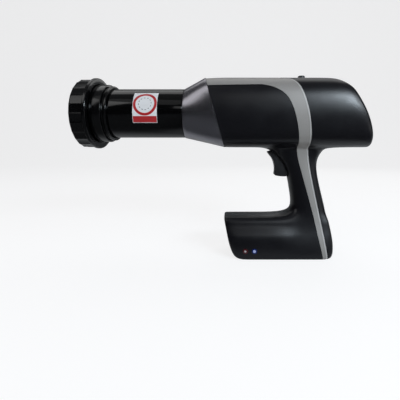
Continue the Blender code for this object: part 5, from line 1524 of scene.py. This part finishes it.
def studio_floor():
    """Pale paper, level under the object and curving up far behind it."""
    def line(depth):
        bend = PAPER_BEND + depth
        turns = [math.radians(90 * share) for share in shares(PAPER_STEPS)]
        curve = [(PAPER_BACK_Y + bend * math.sin(t), PAPER_BEND - bend * math.cos(t)) for t in turns]
        return [(-PAPER_REACH, -depth), *curve, (PAPER_BACK_Y + bend, PAPER_HEIGHT)]

    left, right = -PAPER_REACH, PAPER_REACH
    bm, loops = loft([[(left, *top), (right, *top), (right, *under), (left, *under)]
                      for top, under in zip(line(0.0), line(PAPER_THICK))], False)
    for end in (loops[0], loops[-1]):
        bm.faces.new(end)
    store("studio_floor", bm, "paper")


def softbox(name, place, aim, size, power, colour):
    light = bpy.data.lights.new(name, "AREA")
    light.shape = "RECTANGLE"
    light.size, light.size_y = size
    light.energy = power
    light.color = colour
    lamp = link(name, light)
    lamp.location = place
    lamp.rotation_euler = (Vector(aim) - Vector(place)).to_track_quat("-Z", "Y").to_euler()


def studio_air():
    """Plain white to the camera; on the object, dim air that is brighter overhead."""
    world = bpy.data.worlds.new("studio_air")
    bpy.context.scene.world = world
    world.use_nodes = True
    world.node_tree.nodes.clear()
    net = Net(world.node_tree)
    up = net.split(net.add("ShaderNodeTexCoord").outputs["Generated"])["Z"]
    glow = net.remap(up, AIR_LOW[0], AIR_HIGH[0], AIR_LOW[1], AIR_HIGH[1])
    seen = net.add("ShaderNodeBackground", {"Color": (1.0, 1.0, 1.0, 1.0), "Strength": AIR_SEEN})
    felt = net.add("ShaderNodeBackground", {"Color": AIR_TINT, "Strength": glow})
    path = net.add("ShaderNodeLightPath").outputs
    mixed = net.add("ShaderNodeMixShader", {0: path["Is Camera Ray"], 1: felt.outputs[0], 2: seen.outputs[0]})
    net.add("ShaderNodeOutputWorld", {"Surface": mixed.outputs[0]})


def camera():
    """Level view from the left side, as the photograph was taken."""
    lens = bpy.data.cameras.new("camera")
    lens.lens = CAMERA_LENS
    lens.sensor_width = CAMERA_SENSOR
    lens.shift_x, lens.shift_y = CAMERA_SHIFT
    eye = link("camera", lens)
    eye.location = CAMERA_PLACE
    eye.rotation_euler = (math.pi / 2, 0.0, 0.0)
    bpy.context.scene.camera = eye
    bpy.context.scene.view_settings.view_transform = "Standard"


def main():
    left = housing()
    nose_cone()
    barrel()
    seal_plate()
    for number, (place, look) in enumerate(zip(BADGE_PLACES, ("badge_red", "badge_blue")), 1):
        badge("foot_badge_%d" % number, left, *place, look)
    control_panel()
    power_button()
    trigger()
    charge_inlet()
    battery_cover()
    dress_inner_nodes()
    studio_floor()
    for lamp in SOFTBOXES:
        softbox(*lamp)
    studio_air()
    camera()


main()
